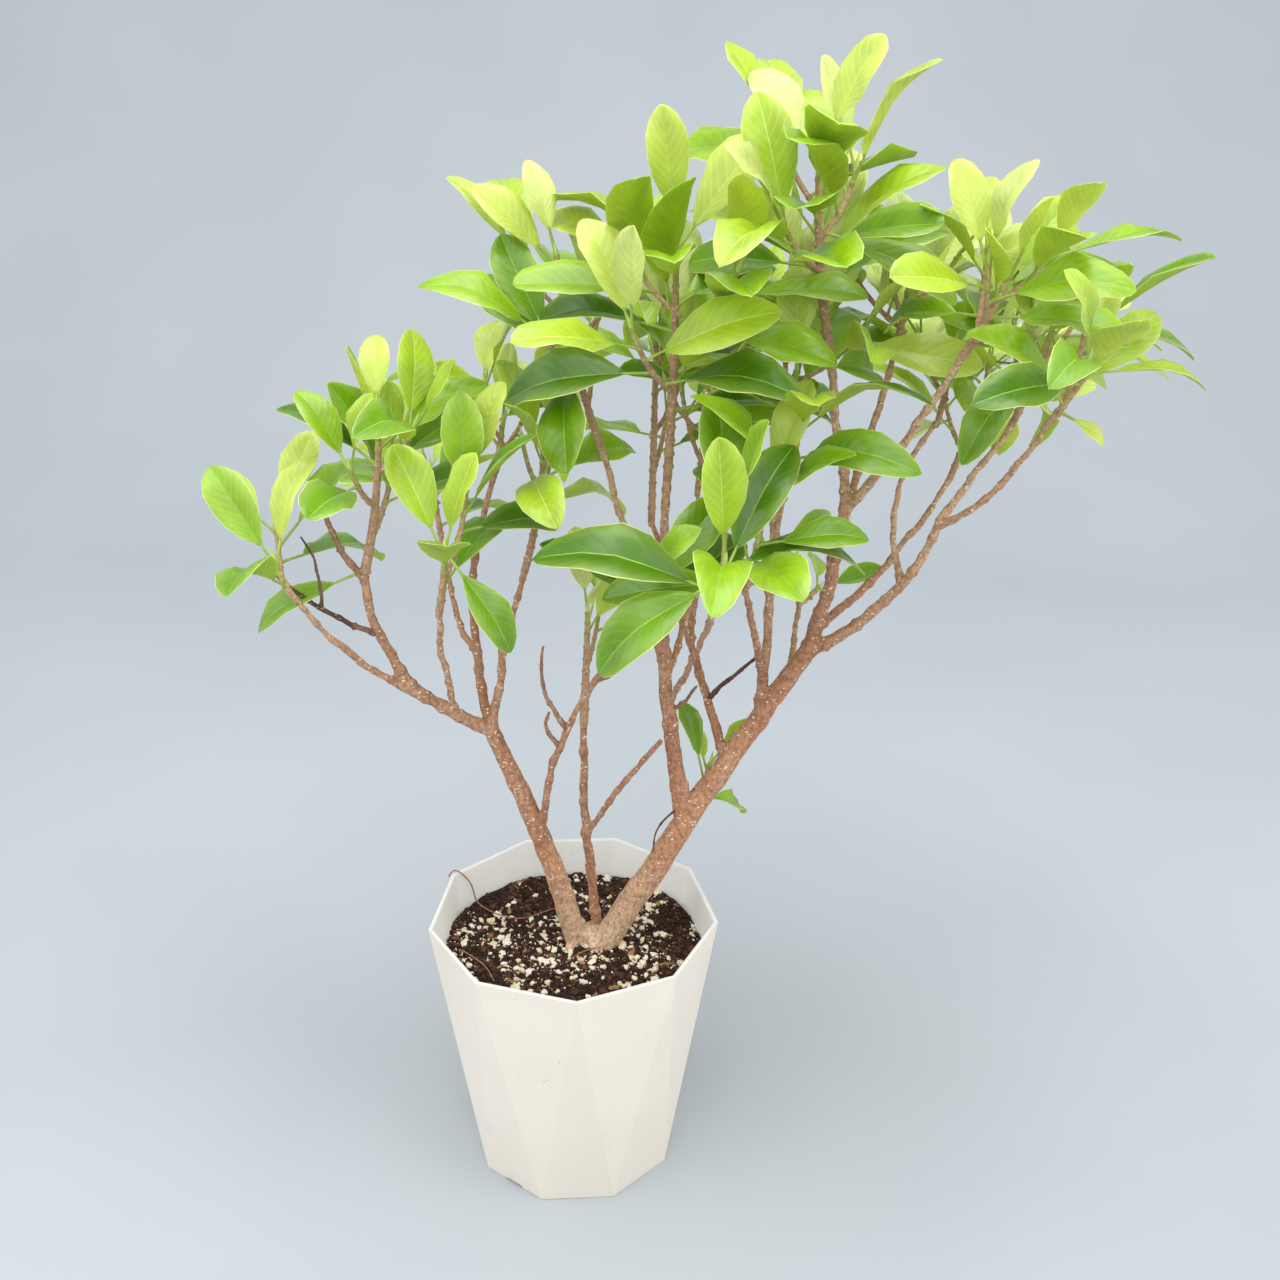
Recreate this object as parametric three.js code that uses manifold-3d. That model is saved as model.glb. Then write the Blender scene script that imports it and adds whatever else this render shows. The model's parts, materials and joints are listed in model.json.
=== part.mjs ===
// Potted ficus: three stems on one root flare in a nine-sided pot, with bare boughs that end in leafy shoots.
// Millimetres, +Z up. The origin is the centre of the pot's underside, and the crown's lit side faces -Y.
// Bearings turn from +X towards +Y, and rises are measured over the level, both in degrees.
import * as THREE from 'three';
import { mergeVertices } from 'three/addons/utils/BufferGeometryUtils.js';
import Module from 'manifold-3d';

const wasm = await Module();
wasm.setup();

// Pot: a rim and a foot of nine corners each, turned half a side from each other, joined by triangles
const POT_SIDES = 9;
const POT_HEIGHT = 174;
const RIM_RADIUS = 90;
const FOOT_RADIUS = 66;
const FOOT_BEARING = 14;
const POT_WALL = 2.4;
const POT_FLOOR = 4;
const RIM_OVERCUT = 0.5;

// Drain notches, cut up into the foot's edge
const NOTCH_COUNT = 3;
const NOTCH_BEARING = 234;
const NOTCH_WIDTH = 13;
const NOTCH_HEIGHT = 2;
const NOTCH_DEPTH = 12;

// Soil level, and the mound where the stems join: ridges stand out from it round its foot
const GROUND = 150;
const FLARE_CENTRE = [10, 2];
const FLARE_RADIUS = 21;
const FLARE_HEIGHT = 17;
const FLARE_HOLLOW = 0.7;
const FLARE_RIDGES = 5;
const FLARE_RIDGE_SHARE = 0.14;

// Clearance between neighbouring pieces, and the size of slivers smoothed away where a mass is fused
const GAP = 0.3;
const SLIVER = 0.25;

// Faces round and along each kind of limb
const STEM_FACES = [8, 6];
const BOUGH_FACES = [6, 4];
const TWIG_FACES = [3, 2];

// Stems rise from a foot on the flare: sag and sway bow the middle down and to the left of its heading
const FOOT_LEVEL = GROUND + 2;
const STEMS = {
  left_stem: { foot: [2, 0], length: 159, bearing: -173, rise: 72, sag: -3, radii: [7.4, 4.6] },
  middle_stem: { foot: [15, 13], length: 142, bearing: 128, rise: 84, sag: 1, sway: 3, radii: [3.3, 2.2] },
  right_stem: { foot: [19, -2], length: 229, bearing: 6, rise: 59, sag: -2, radii: [8.8, 5.2] },
};

// Boughs leave their parent at a share of its length
const BOUGHS = {
  left_bough: {
    from: 'left_stem', at: 1, length: 118, bearing: -173, rise: 56, sag: 18, sway: 2, radii: [3.7, 2.3],
  },
  left_low_bough: {
    from: 'left_bough', at: 0.3, length: 106, bearing: -159, rise: 46, sag: 7, sway: -1, radii: [2.5, 1.6],
  },
  left_inner_bough: {
    from: 'left_bough', at: 0.17, length: 86, bearing: -92, rise: 66, sway: -2, radii: [2.2, 1.7],
  },
  left_back_bough: {
    from: 'left_stem', at: 1, length: 152, bearing: 88, rise: 68, sag: 8, sway: 13, radii: [2.9, 1.7],
  },
  left_centre_bough: {
    from: 'left_stem', at: 0.99, length: 96, bearing: 47, rise: 73, sag: -3, radii: [2.7, 1.8],
  },
  left_side_bough: {
    from: 'left_stem', at: 0.47, length: 172, bearing: -30, rise: 67, sag: -13, sway: -7, radii: [2.5, 1.6],
  },
  left_rear_bough: {
    from: 'left_back_bough', at: 0.3, length: 104, bearing: 108, rise: 17, sag: 17, radii: [2.1, 1.6],
  },
  cut_stub: {
    from: 'middle_stem', at: 0.47, length: 98, bearing: -34, rise: 57, sag: -2, radii: [1.9, 1.7],
  },
  leader: {
    from: 'right_stem', at: 0.43, length: 216, bearing: -176, rise: 86, sag: 7, sway: 2, radii: [5.3, 2.1],
  },
  crown_left_bough: {
    from: 'leader', at: 0.46, length: 134, bearing: 145, rise: 70, sway: -1, radii: [2.5, 1.7],
  },
  front_bough: {
    from: 'leader', at: 0.36, length: 97, bearing: -73, rise: 51, sag: -4, sway: 2, radii: [1.9, 1.6],
  },
  inner_bough: {
    from: 'leader', at: 0.45, length: 110, bearing: 67, rise: 67, sag: 8, sway: -3, radii: [2.1, 1.5],
  },
  crossing_bough: {
    from: 'right_stem', at: 0.63, length: 152, bearing: 125, rise: 58, sag: 4, sway: -4, radii: [3, 1.8],
  },
  back_bough: {
    from: 'crossing_bough', at: 0.5, length: 126, bearing: 79, rise: 50, sag: 19, sway: 4, radii: [2.3, 1.6],
  },
  fork_bough: {
    from: 'right_stem', at: 0.78, length: 171, bearing: 77, rise: 85, sag: 2, sway: -2, radii: [3.1, 1.8],
  },
  fork_front_bough: {
    from: 'fork_bough', at: 0.14, length: 93, bearing: -108, rise: 55, sag: -1, radii: [2.3, 1.6],
  },
  fork_right_bough: {
    from: 'fork_bough', at: 0.52, length: 79, bearing: -84, rise: 64, sag: -1, sway: -1, radii: [2.1, 1.6],
  },
  back_low_bough: {
    from: 'right_stem', at: 0.93, length: 68, bearing: 81, rise: 15, sag: 1, sway: 1, radii: [2.1, 1.6],
  },
  rising_bough: {
    from: 'right_stem', at: 1, length: 90, bearing: -24, rise: 80, sag: 2, radii: [4, 3.3],
  },
  tall_bough: {
    from: 'rising_bough', at: 1, length: 92, bearing: -165, rise: 80, sag: -1, radii: [2.9, 2.2],
  },
  upper_bough: {
    from: 'rising_bough', at: 1, length: 94, bearing: 46, rise: 67, sag: 4, sway: 1, radii: [2.4, 1.7],
  },
  right_bough: {
    from: 'rising_bough', at: 0.98, length: 110, bearing: -34, rise: 58, sag: 3, sway: -2, radii: [2.6, 1.8],
  },
  back_right_bough: {
    from: 'rising_bough', at: 0.18, length: 139, bearing: 45, rise: 27, sag: 11, sway: 1, radii: [2.6, 1.7],
  },
  right_low_bough: {
    from: 'right_stem', at: 1, length: 108, bearing: -13, rise: 52, sag: 11, sway: 1, radii: [3.5, 2.3],
  },
  outer_bough: {
    from: 'right_low_bough', at: 0.97, length: 84, bearing: -34, rise: 51, sag: 6, sway: 3, radii: [2, 1.6],
  },
  outer_high_bough: {
    from: 'right_low_bough', at: 1, length: 66, bearing: 30, rise: 47, sag: 2, sway: 2, radii: [2.2, 1.7],
  },
  middle_right_bough: {
    from: 'right_low_bough', at: 0.62, length: 95, bearing: 65, rise: 59, sag: -1, sway: 13, radii: [2, 1.5],
  },
};

// Masses of leaves: a stem that grows on from a bough's tip, or from a share of a stem's length,
// its side twigs, the leaves on each shoot, the lengths of a twig and of a full leaf, and the seed
const MASSES = {
  front_leaves: {
    from: 'front_bough', length: 55, bearing: -77, rise: 60,
    twigs: 1, leaves: 4, twig: 42, leaf: 65, seed: 24,
  },
  far_left_leaves: {
    from: 'left_low_bough', length: 17, bearing: 180, rise: 70,
    twigs: 1, leaves: 5, twig: 40, leaf: 61, seed: 76,
  },
  left_high_leaves: {
    from: 'left_bough', length: 86, bearing: -8, rise: 81,
    twigs: 3, leaves: 4, twig: 48, leaf: 48, seed: 43,
  },
  left_inner_leaves: {
    from: 'left_inner_bough', length: 38, bearing: -45, rise: 79,
    twigs: 1, leaves: 4, twig: 52, leaf: 53, seed: 91,
  },
  fork_front_leaves: {
    from: 'fork_front_bough', length: 39, bearing: -81, rise: 59,
    twigs: 1, leaves: 5, twig: 42, leaf: 57, seed: 70,
  },
  side_leaves: {
    from: 'left_side_bough', length: 28, bearing: -75, rise: 68,
    twigs: 0, leaves: 5, twig: 0, leaf: 52, seed: 93,
  },
  centre_top_leaves: {
    from: 'leader', length: 127, bearing: -74, rise: 87,
    twigs: 4, leaves: 6, twig: 52, leaf: 60, seed: 47,
  },
  top_leaves: {
    from: 'tall_bough', length: 96, bearing: -162, rise: 83,
    twigs: 4, leaves: 6, twig: 50, leaf: 60, seed: 19,
  },
  right_high_leaves: {
    from: 'right_bough', length: 45, bearing: -24, rise: 66,
    twigs: 3, leaves: 6, twig: 46, leaf: 48, seed: 88,
  },
  outer_low_leaves: {
    from: 'outer_bough', length: 36, bearing: -44, rise: 61,
    twigs: 2, leaves: 4, twig: 46, leaf: 51, seed: 27,
  },
  outer_high_leaves: {
    from: 'outer_high_bough', length: 54, bearing: 25, rise: 69,
    twigs: 3, leaves: 5, twig: 50, leaf: 49, seed: 79,
  },
  crown_left_leaves: {
    from: 'crown_left_bough', length: 109, bearing: -165, rise: 77,
    twigs: 4, leaves: 5, twig: 50, leaf: 51, seed: 36,
  },
  centre_low_leaves: {
    from: 'left_centre_bough', length: 78, bearing: -3, rise: 81,
    twigs: 2, leaves: 4, twig: 46, leaf: 49, seed: 20,
  },
  left_crown_leaves: {
    from: 'left_back_bough', length: 24, bearing: 69, rise: 71,
    twigs: 2, leaves: 4, twig: 46, leaf: 46, seed: 10,
  },
  fork_right_leaves: {
    from: 'fork_right_bough', length: 29, bearing: -72, rise: 73,
    twigs: 1, leaves: 5, twig: 44, leaf: 59, seed: 78,
  },
  fork_top_leaves: {
    from: 'fork_bough', length: 55, bearing: 17, rise: 75,
    twigs: 3, leaves: 5, twig: 48, leaf: 57, seed: 80,
  },
  upper_leaves: {
    from: 'upper_bough', length: 27, bearing: 52, rise: 75,
    twigs: 3, leaves: 6, twig: 44, leaf: 46, seed: 63,
  },
  inner_leaves: {
    from: 'inner_bough', length: 52, bearing: 47, rise: 87,
    twigs: 2, leaves: 4, twig: 46, leaf: 59, seed: 35,
  },
  middle_right_leaves: {
    from: 'middle_right_bough', length: 45, bearing: 51, rise: 75,
    twigs: 2, leaves: 4, twig: 44, leaf: 55, seed: 89,
  },
  centre_back_leaves: {
    from: 'crossing_bough', length: 109, bearing: 86, rise: 82,
    twigs: 3, leaves: 5, twig: 48, leaf: 51, seed: 92,
  },
  middle_leaves: {
    from: 'middle_stem', length: 66, bearing: 87, rise: 66,
    twigs: 1, leaves: 3, twig: 40, leaf: 48, seed: 15,
  },
  back_right_leaves: {
    from: 'back_right_bough', length: 72, bearing: 46, rise: 63,
    twigs: 3, leaves: 5, twig: 50, leaf: 59, seed: 57,
  },
  back_low_leaves: {
    from: 'back_low_bough', length: 29, bearing: 61, rise: 0,
    twigs: 1, leaves: 5, twig: 42, leaf: 44, seed: 99,
  },
  back_leaves: {
    from: 'back_bough', length: 67, bearing: 93, rise: 72,
    twigs: 3, leaves: 6, twig: 50, leaf: 59, seed: 18,
  },
  left_rear_leaves: {
    from: 'left_rear_bough', length: 45, bearing: 116, rise: 70,
    twigs: 2, leaves: 5, twig: 46, leaf: 47, seed: 84,
  },
  low_sprout: {
    from: 'right_stem', at: 0.5, length: 26, bearing: 71, rise: 35,
    twigs: 0, leaves: 5, twig: 0, leaf: 32, seed: 18,
  },
};

// Growth: turn from leaf to leaf, tries before a piece is left out, and reach round a mass's stem
const GOLDEN_TURN = 137.5;
const TRIES = 4;
const SPACE = 105;
const CLEARANCE = 1.2;
const LINE_STEPS = 12;
const LINE_MARGIN = 4;
const UP = new THREE.Vector3(0, 0, 1);
const LIGHT = heading(-90, 50);
const LIGHT_SHARE = 0.6;

// Stems of the masses, and their side twigs: where they stand, how long they are, and how they lean and turn
const STEM_SAG_SHARE = 0.03;
const STEM_TIP_RADIUS = 1.2;
const SPROUT_RADIUS = 1.6;
const TWIG_FIRST_SHARE = 0.15;
const TWIG_SPAN_SHARE = 0.65;
const TWIG_LENGTH_SPREAD = 0.2;
const TWIG_LOWEST_LENGTH = 1.15;
const TWIG_SHORTENING = 0.4;
const TWIG_LEAN = 48;
const TWIG_LEAN_SPREAD = 12;
const TWIG_TURN_SPREAD = 25;
const TWIG_RETRY_TURN = 50;
const TWIG_LIFT = 0.3;
const TWIG_SAG_SHARE = 0.08;
const TWIG_RADIUS_SHARE = 0.75;
const TWIG_TIP_RADIUS = 1;
const TWIG_TEST_SHARES = [0.4, 0.55, 0.7, 0.85, 1];
const TWIG_TEST_RADIUS = 1.2;
const TWIG_ROOM = 2;

// Leaves: the youngest stands at the shoot's tip, and older ones sit lower, larger and wider open
const LEAF_FIRST_BACK = 1;
const LEAF_STEP = 4.5;
const LEAF_STEP_GAIN = 0.9;
const LEAFY_SHARE = 0.9;
const LEAF_YOUNG_SHARE = 0.76;
const LEAF_GAIN = 0.12;
const LEAF_LENGTH_SPREAD = 0.12;
const LEAF_WIDTH_SHARE = 0.5;
const LEAF_WIDTH_SPREAD = 0.05;
const LEAF_DROP = 0.04;
const LEAF_DROP_GAIN = 0.035;
const LEAF_DROP_SPREAD = 0.04;
const LEAF_FOLD = 18;
const LEAF_FOLD_SPREAD = 6;
const LEAF_ROLL_SPREAD = 22;
const LEAF_OPENING = 24;
const LEAF_OPENING_GAIN = 15;
const LEAF_WIDEST_OPENING = 80;
const LEAF_OPENING_SPREAD = 10;
const LEAF_TURN_SPREAD = 15;
const LEAF_RETRY_TURN = 42;
const LEAF_RETRY_CLOSING = 5;
const LEAF_LIFT = 0.12;

// Blade: its outline rises and falls by two powers, and its corners stand at these shares from the tip down
const LEAF_BASE_POWER = 0.85;
const LEAF_TIP_POWER = 0.62;
const LEAF_CORNERS = [1, 0.75, 0.25];
const LEAF_THICKNESS = 1.2;
const LEAF_GROWN = 1.1;
const LEAF_REACH_SHARE = 0.62;
const LEAF_TEST_SHARES = [0.15, 0.3, 0.5, 0.75, 0.9];
const STALK_LENGTH = 14;
const STALK_LENGTH_SPREAD = 3;
const STALK_HALF_WIDTH = 1.6;
const STALK_THICKNESS = 0.9;
const STALK_TEST_RADIUS = 0.8;

// Finishes
const FINISHES = {
  pot: { color: 0xece6da, roughness: 0.55 },
  soil: { color: 0x3a2a20, roughness: 1 },
  flare: { color: 0xb89674, roughness: 0.85 },
  stem: { color: 0x8c6249, roughness: 0.8 },
  bough: { color: 0x946f55, roughness: 0.75 },
  leaves: { color: 0x7cab3a, roughness: 0.4 },
};

const radians = THREE.MathUtils.degToRad;
const degrees = THREE.MathUtils.radToDeg;

/** Unit vector with a bearing and a rise in degrees. */
function heading(bearing, rise) {
  const turn = THREE.MathUtils.degToRad(bearing);
  const lift = THREE.MathUtils.degToRad(rise);
  return new THREE.Vector3(Math.cos(lift) * Math.cos(turn), Math.cos(lift) * Math.sin(turn), Math.sin(lift));
}

/** Unit vector at an angle from an axis, leaning away towards a bearing. */
function tilt(axis, bearing, angle) {
  const out = heading(bearing, 0);
  out.addScaledVector(axis, -out.dot(axis)).normalize();
  return axis.clone().multiplyScalar(Math.cos(radians(angle))).addScaledVector(out, Math.sin(radians(angle)));
}

/** Seeded chance, so that the plant grows the same way every time. */
class Chance {
  constructor(seed) {
    this.state = seed;
  }

  share() {
    this.state = (this.state * 1664525 + 1013904223) % 4294967296;
    return this.state / 4294967296;
  }

  around(middle, spread) {
    return middle + spread * (2 * this.share() - 1);
  }
}

/** Closed solid from a closed geometry. */
function toSolid(geometry) {
  geometry.deleteAttribute('normal');
  geometry.deleteAttribute('uv');
  const merged = mergeVertices(geometry);
  const corners = merged.index.array;
  const triangles = [];
  for (let i = 0; i < corners.length; i += 3) {
    const triangle = [corners[i], corners[i + 1], corners[i + 2]];
    if (new Set(triangle).size === 3) triangles.push(...triangle);
  }
  const vertProperties = Float32Array.from(merged.attributes.position.array);
  const triVerts = Uint32Array.from(triangles);
  return new wasm.Manifold(new wasm.Mesh({ numProp: 3, vertProperties, triVerts }));
}

/** The largest body of a solid: loose scraps are dropped and sealed hollows filled. */
function largestBody(solid) {
  return solid.decompose().reduce((best, body) => (body.volume() > best.volume() ? body : best));
}

/** Named mesh of a solid in one finish. */
function toMesh(name, solid, finish) {
  const { vertProperties, triVerts } = solid.getMesh();
  const geometry = new THREE.BufferGeometry();
  geometry.setAttribute('position', new THREE.BufferAttribute(vertProperties, 3));
  geometry.setIndex(new THREE.BufferAttribute(triVerts, 1));
  geometry.computeVertexNormals();
  const material = new THREE.MeshStandardMaterial({ ...FINISHES[finish], metalness: 0 });
  const mesh = new THREE.Mesh(geometry, material);
  mesh.name = name;
  return mesh;
}

/** A tapering limb along a curve, from its start through a bowed middle to its tip. */
class Limb {
  constructor(start, { length, bearing, rise, sag = 0, sway = 0, radii }) {
    this.start = start;
    this.length = length;
    this.radii = radii;
    this.side = heading(bearing + 90, 0);
    this.tip = start.clone().addScaledVector(heading(bearing, rise), length);
    this.bend = start.clone().add(this.tip).multiplyScalar(0.5);
    this.bend.addScaledVector(heading(bearing, rise - 90), 2 * sag).addScaledVector(this.side, 2 * sway);
    this.curve = new THREE.QuadraticBezierCurve3(this.start, this.bend, this.tip);
  }

  point(share) {
    return this.curve.getPoint(share);
  }

  tangent(share) {
    const leaving = this.bend.clone().sub(this.start).multiplyScalar(1 - share);
    return leaving.addScaledVector(this.tip.clone().sub(this.bend), share).normalize();
  }

  radius(share) {
    return THREE.MathUtils.lerp(this.radii[0], this.radii[1], share);
  }

  /** Short straight lines along the limb, for keeping other growth clear of it. */
  lines(owner) {
    const lines = [];
    for (let i = 0; i < LINE_STEPS; i += 1) {
      const from = i / LINE_STEPS;
      const to = (i + 1) / LINE_STEPS;
      const radius = Math.max(this.radius(from), this.radius(to));
      lines.push({ line: new THREE.Line3(this.point(from), this.point(to)), radius, owner });
    }
    return lines;
  }

  /** The limb as a solid, grown all round by a margin where one is given. */
  solid([sides, steps], margin = 0) {
    const [thick, thin] = this.radii.map((radius) => radius + margin);
    const geometry = new THREE.CylinderGeometry(thin, thick, 1, sides, steps);
    const position = geometry.attributes.position;
    for (let i = 0; i < position.count; i += 1) {
      const share = position.getY(i) + 0.5;
      const along = this.tangent(share);
      const across = this.side.clone().addScaledVector(along, -this.side.dot(along)).normalize();
      const vertex = this.point(share).addScaledVector(along, 2 * margin * (share - 0.5));
      vertex.addScaledVector(across, position.getX(i));
      vertex.addScaledVector(across.clone().cross(along), position.getZ(i));
      position.setXYZ(i, vertex.x, vertex.y, vertex.z);
    }
    return toSolid(geometry);
  }
}

/** A leaf: a stalk from its root on the shoot, and a blade that is folded along its rib and droops. */
class Leaf {
  constructor({ root, base, along, face, length, width, drop, fold }) {
    Object.assign(this, { root, base, along, face, length, width, drop, fold });
    this.side = face.clone().cross(along);
    this.middle = this.point(0.5, 0);
    this.reach = LEAF_REACH_SHARE * length;
  }

  halfWidth(share) {
    const widest = LEAF_BASE_POWER / (LEAF_BASE_POWER + LEAF_TIP_POWER);
    const shape = (at) => at ** LEAF_BASE_POWER * (1 - at) ** LEAF_TIP_POWER;
    return (this.width / 2) * (shape(share) / shape(widest));
  }

  /** Point at a share along the blade, at -1 to 1 across it, lifted off its middle surface. */
  point(share, across, lift = 0) {
    const normal = this.face.clone().addScaledVector(this.along, 2 * this.drop * share).normalize();
    const reach = across * this.halfWidth(share);
    const point = this.base.clone().addScaledVector(this.along, this.length * share);
    point.addScaledVector(this.face, -this.length * this.drop * share * share);
    point.addScaledVector(this.side, reach * Math.cos(this.fold));
    return point.addScaledVector(normal, Math.abs(reach) * Math.sin(this.fold) + lift);
  }

  /** Six outline points and the triangles and edges of the fan that fills them. */
  fan(lift, grown) {
    const [, upper, lower] = LEAF_CORNERS;
    const outline = [[0, 0], [lower, 1], [upper, 1], [1, 0], [upper, -1], [lower, -1]];
    const ring = outline.map(([share, across]) => this.point(share, across * grown, lift));
    ring[3].addScaledVector(this.along, this.length * (grown - 1));
    const centre = this.point(0.5, 0, lift);
    const next = (i) => ring[(i + 1) % ring.length];
    const triangles = ring.map((corner, i) => [centre, corner, next(i)]);
    const rims = ring.map((corner, i) => [corner, next(i)]);
    const spokes = ring.map((corner) => [centre, corner]);
    return { ring, triangles, edges: [...rims, ...spokes] };
  }

  /** A closed slab round the leaf that other growth has to stay out of. */
  slab() {
    const top = this.fan(CLEARANCE, LEAF_GROWN);
    const low = this.fan(-CLEARANCE, LEAF_GROWN);
    const walls = top.ring.flatMap((corner, i) => {
      const j = (i + 1) % top.ring.length;
      return [[corner, low.ring[i], top.ring[j]], [top.ring[j], low.ring[i], low.ring[j]]];
    });
    return { triangles: [...top.triangles, ...low.triangles, ...walls], edges: [...top.edges, ...low.edges] };
  }

  /** Corner of the outline, counted down either side from the tip past the stalk's head to its root. */
  corner(step, across, lift) {
    if (step < LEAF_CORNERS.length) return this.point(LEAF_CORNERS[step], across);
    const atHead = step === LEAF_CORNERS.length;
    if (atHead) return this.base.clone().addScaledVector(this.side, across * STALK_HALF_WIDTH);
    return this.root.clone().addScaledVector(this.face, (lift * STALK_THICKNESS) / 2);
  }

  /** The leaf as a solid: a lens, thin at its rim, on a stalk whose upright end is sunk in the shoot. */
  solid() {
    const steps = LEAF_CORNERS.length + 1;
    const geometry = new THREE.CylinderGeometry(1, 1, 2, 2 * steps);
    const position = geometry.attributes.position;
    for (let i = 0; i < position.count; i += 1) {
      const [x, lift, z] = [position.getX(i), position.getY(i), position.getZ(i)];
      const step = Math.round((Math.atan2(Math.abs(x), z) / Math.PI) * steps);
      const onRim = Math.hypot(x, z) > 0.5;
      const vertex = onRim
        ? this.corner(step, Math.sign(x), lift)
        : this.point(0.5, 0, (lift * LEAF_THICKNESS) / 2);
      position.setXYZ(i, vertex.x, vertex.y, vertex.z);
    }
    return toSolid(geometry);
  }
}

/** Everything grown so far, which new growth keeps clear of. */
class Crown {
  constructor() {
    this.lines = [];
    this.blades = [];
  }

  addLines(lines) {
    this.lines.push(...lines);
  }

  addLeaf(leaf, owner) {
    this.blades.push({ leaf, ...leaf.fan(0, 1) });
    const stalk = new THREE.Line3(leaf.root.clone().addScaledVector(leaf.along, leaf.sunk), leaf.base);
    this.lines.push({ line: stalk, radius: STALK_TEST_RADIUS, owner });
  }

  /** Whether points of a given radius keep their room from every line but one owner's. */
  pointsFree(points, radius, room, owner) {
    const others = this.lines.filter((other) => other.owner !== owner);
    return others.every((other) => {
      const least = other.radius + radius + room;
      return points.every((point) => gapTo(other.line, point) >= least);
    });
  }

  bladesNear(middle, reach) {
    return this.blades.filter(({ leaf }) => leaf.middle.distanceTo(middle) < reach + leaf.reach);
  }

  /** Whether a twig passes through no leaf. */
  twigFree(twig) {
    const edges = twig.lines().map(({ line }) => [line.start, line.end]);
    const near = this.bladesNear(twig.point(0.5), twig.length);
    return !near.some(({ triangles }) => crosses(edges, triangles));
  }

  /** Whether a leaf touches no limb, twig or stalk and no other leaf. */
  leafFree(leaf) {
    const slab = leaf.slab();
    const reach = leaf.reach + LINE_MARGIN;
    const lines = this.lines.filter(({ line, radius }) => gapTo(line, leaf.middle) < reach + radius);
    if (crosses(lines.map(({ line }) => [line.start, line.end]), slab.triangles)) return false;
    const points = LEAF_TEST_SHARES.flatMap((share) => [-1, 0, 1].map((across) => leaf.point(share, across)));
    points.push(leaf.point(1, 0));
    const touches = ({ line, radius }) => points.some((point) => gapTo(line, point) < radius + CLEARANCE);
    if (lines.some(touches)) return false;
    const near = this.bladesNear(leaf.middle, leaf.reach);
    const meets = (blade) => crosses(slab.edges, blade.triangles) || crosses(blade.edges, slab.triangles);
    return !near.some(meets);
  }
}

/** Distance from a straight line to a point. */
function gapTo(line, point) {
  return line.closestPointToPoint(point, true, new THREE.Vector3()).distanceTo(point);
}

/** Whether any edge passes through any triangle. */
function crosses(edges, triangles) {
  const ray = new THREE.Ray();
  const hit = new THREE.Vector3();
  return edges.some(([from, to]) => {
    ray.origin.copy(from);
    ray.direction.copy(to).sub(from);
    const length = ray.direction.length();
    ray.direction.divideScalar(length);
    return triangles.some(([a, b, c]) => {
      const met = ray.intersectTriangle(a, b, c, false, hit);
      return met !== null && met.distanceTo(from) <= length;
    });
  });
}

/** Side twigs of a mass: they turn round the stem by the golden angle and curve up. */
function growTwigs(crown, stem, mass, chance, owner) {
  const shoots = [stem];
  const first = 360 * chance.share();
  for (let k = 0; k < mass.twigs; k += 1) {
    const share = TWIG_FIRST_SHARE + (TWIG_SPAN_SHARE * (k + 0.5)) / mass.twigs;
    const shortened = TWIG_LOWEST_LENGTH - TWIG_SHORTENING * share;
    const length = mass.twig * chance.around(1, TWIG_LENGTH_SPREAD) * shortened;
    const lean = chance.around(TWIG_LEAN, TWIG_LEAN_SPREAD);
    const turn = first + k * GOLDEN_TURN + chance.around(0, TWIG_TURN_SPREAD);
    for (let attempt = 0; attempt < TRIES; attempt += 1) {
      const away = tilt(stem.tangent(share), turn + TWIG_RETRY_TURN * attempt, lean);
      away.addScaledVector(UP, TWIG_LIFT).normalize();
      const twig = new Limb(stem.point(share), {
        length,
        bearing: degrees(Math.atan2(away.y, away.x)),
        rise: degrees(Math.asin(away.z)),
        sag: TWIG_SAG_SHARE * length,
        radii: [TWIG_RADIUS_SHARE * stem.radius(share), TWIG_TIP_RADIUS],
      });
      const points = TWIG_TEST_SHARES.map((at) => twig.point(at));
      if (crown.pointsFree(points, TWIG_TEST_RADIUS, TWIG_ROOM) && crown.twigFree(twig)) {
        crown.addLines(twig.lines(`${owner}/${shoots.length}`));
        shoots.push(twig);
        break;
      }
    }
  }
  return shoots;
}

/** One leaf of a shoot, at a share of its length, turned and opened from the shoot. */
function makeLeaf(shoot, share, looks, turn, spread) {
  const axis = shoot.tangent(share);
  const along = tilt(axis, turn, spread).addScaledVector(UP, LEAF_LIFT).normalize();
  const root = shoot.point(share);
  const flat = LIGHT.clone().multiplyScalar(LIGHT_SHARE).addScaledVector(axis, 1 - LIGHT_SHARE);
  flat.addScaledVector(along, -flat.dot(along)).normalize();
  const face = flat.clone().multiplyScalar(Math.cos(looks.roll));
  face.addScaledVector(along.clone().cross(flat), Math.sin(looks.roll));
  const base = root.clone().addScaledVector(along, looks.stalk + shoot.radius(share));
  const leaf = new Leaf({ root, base, along, face, ...looks });
  leaf.sunk = shoot.radius(share);
  return leaf;
}

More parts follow.
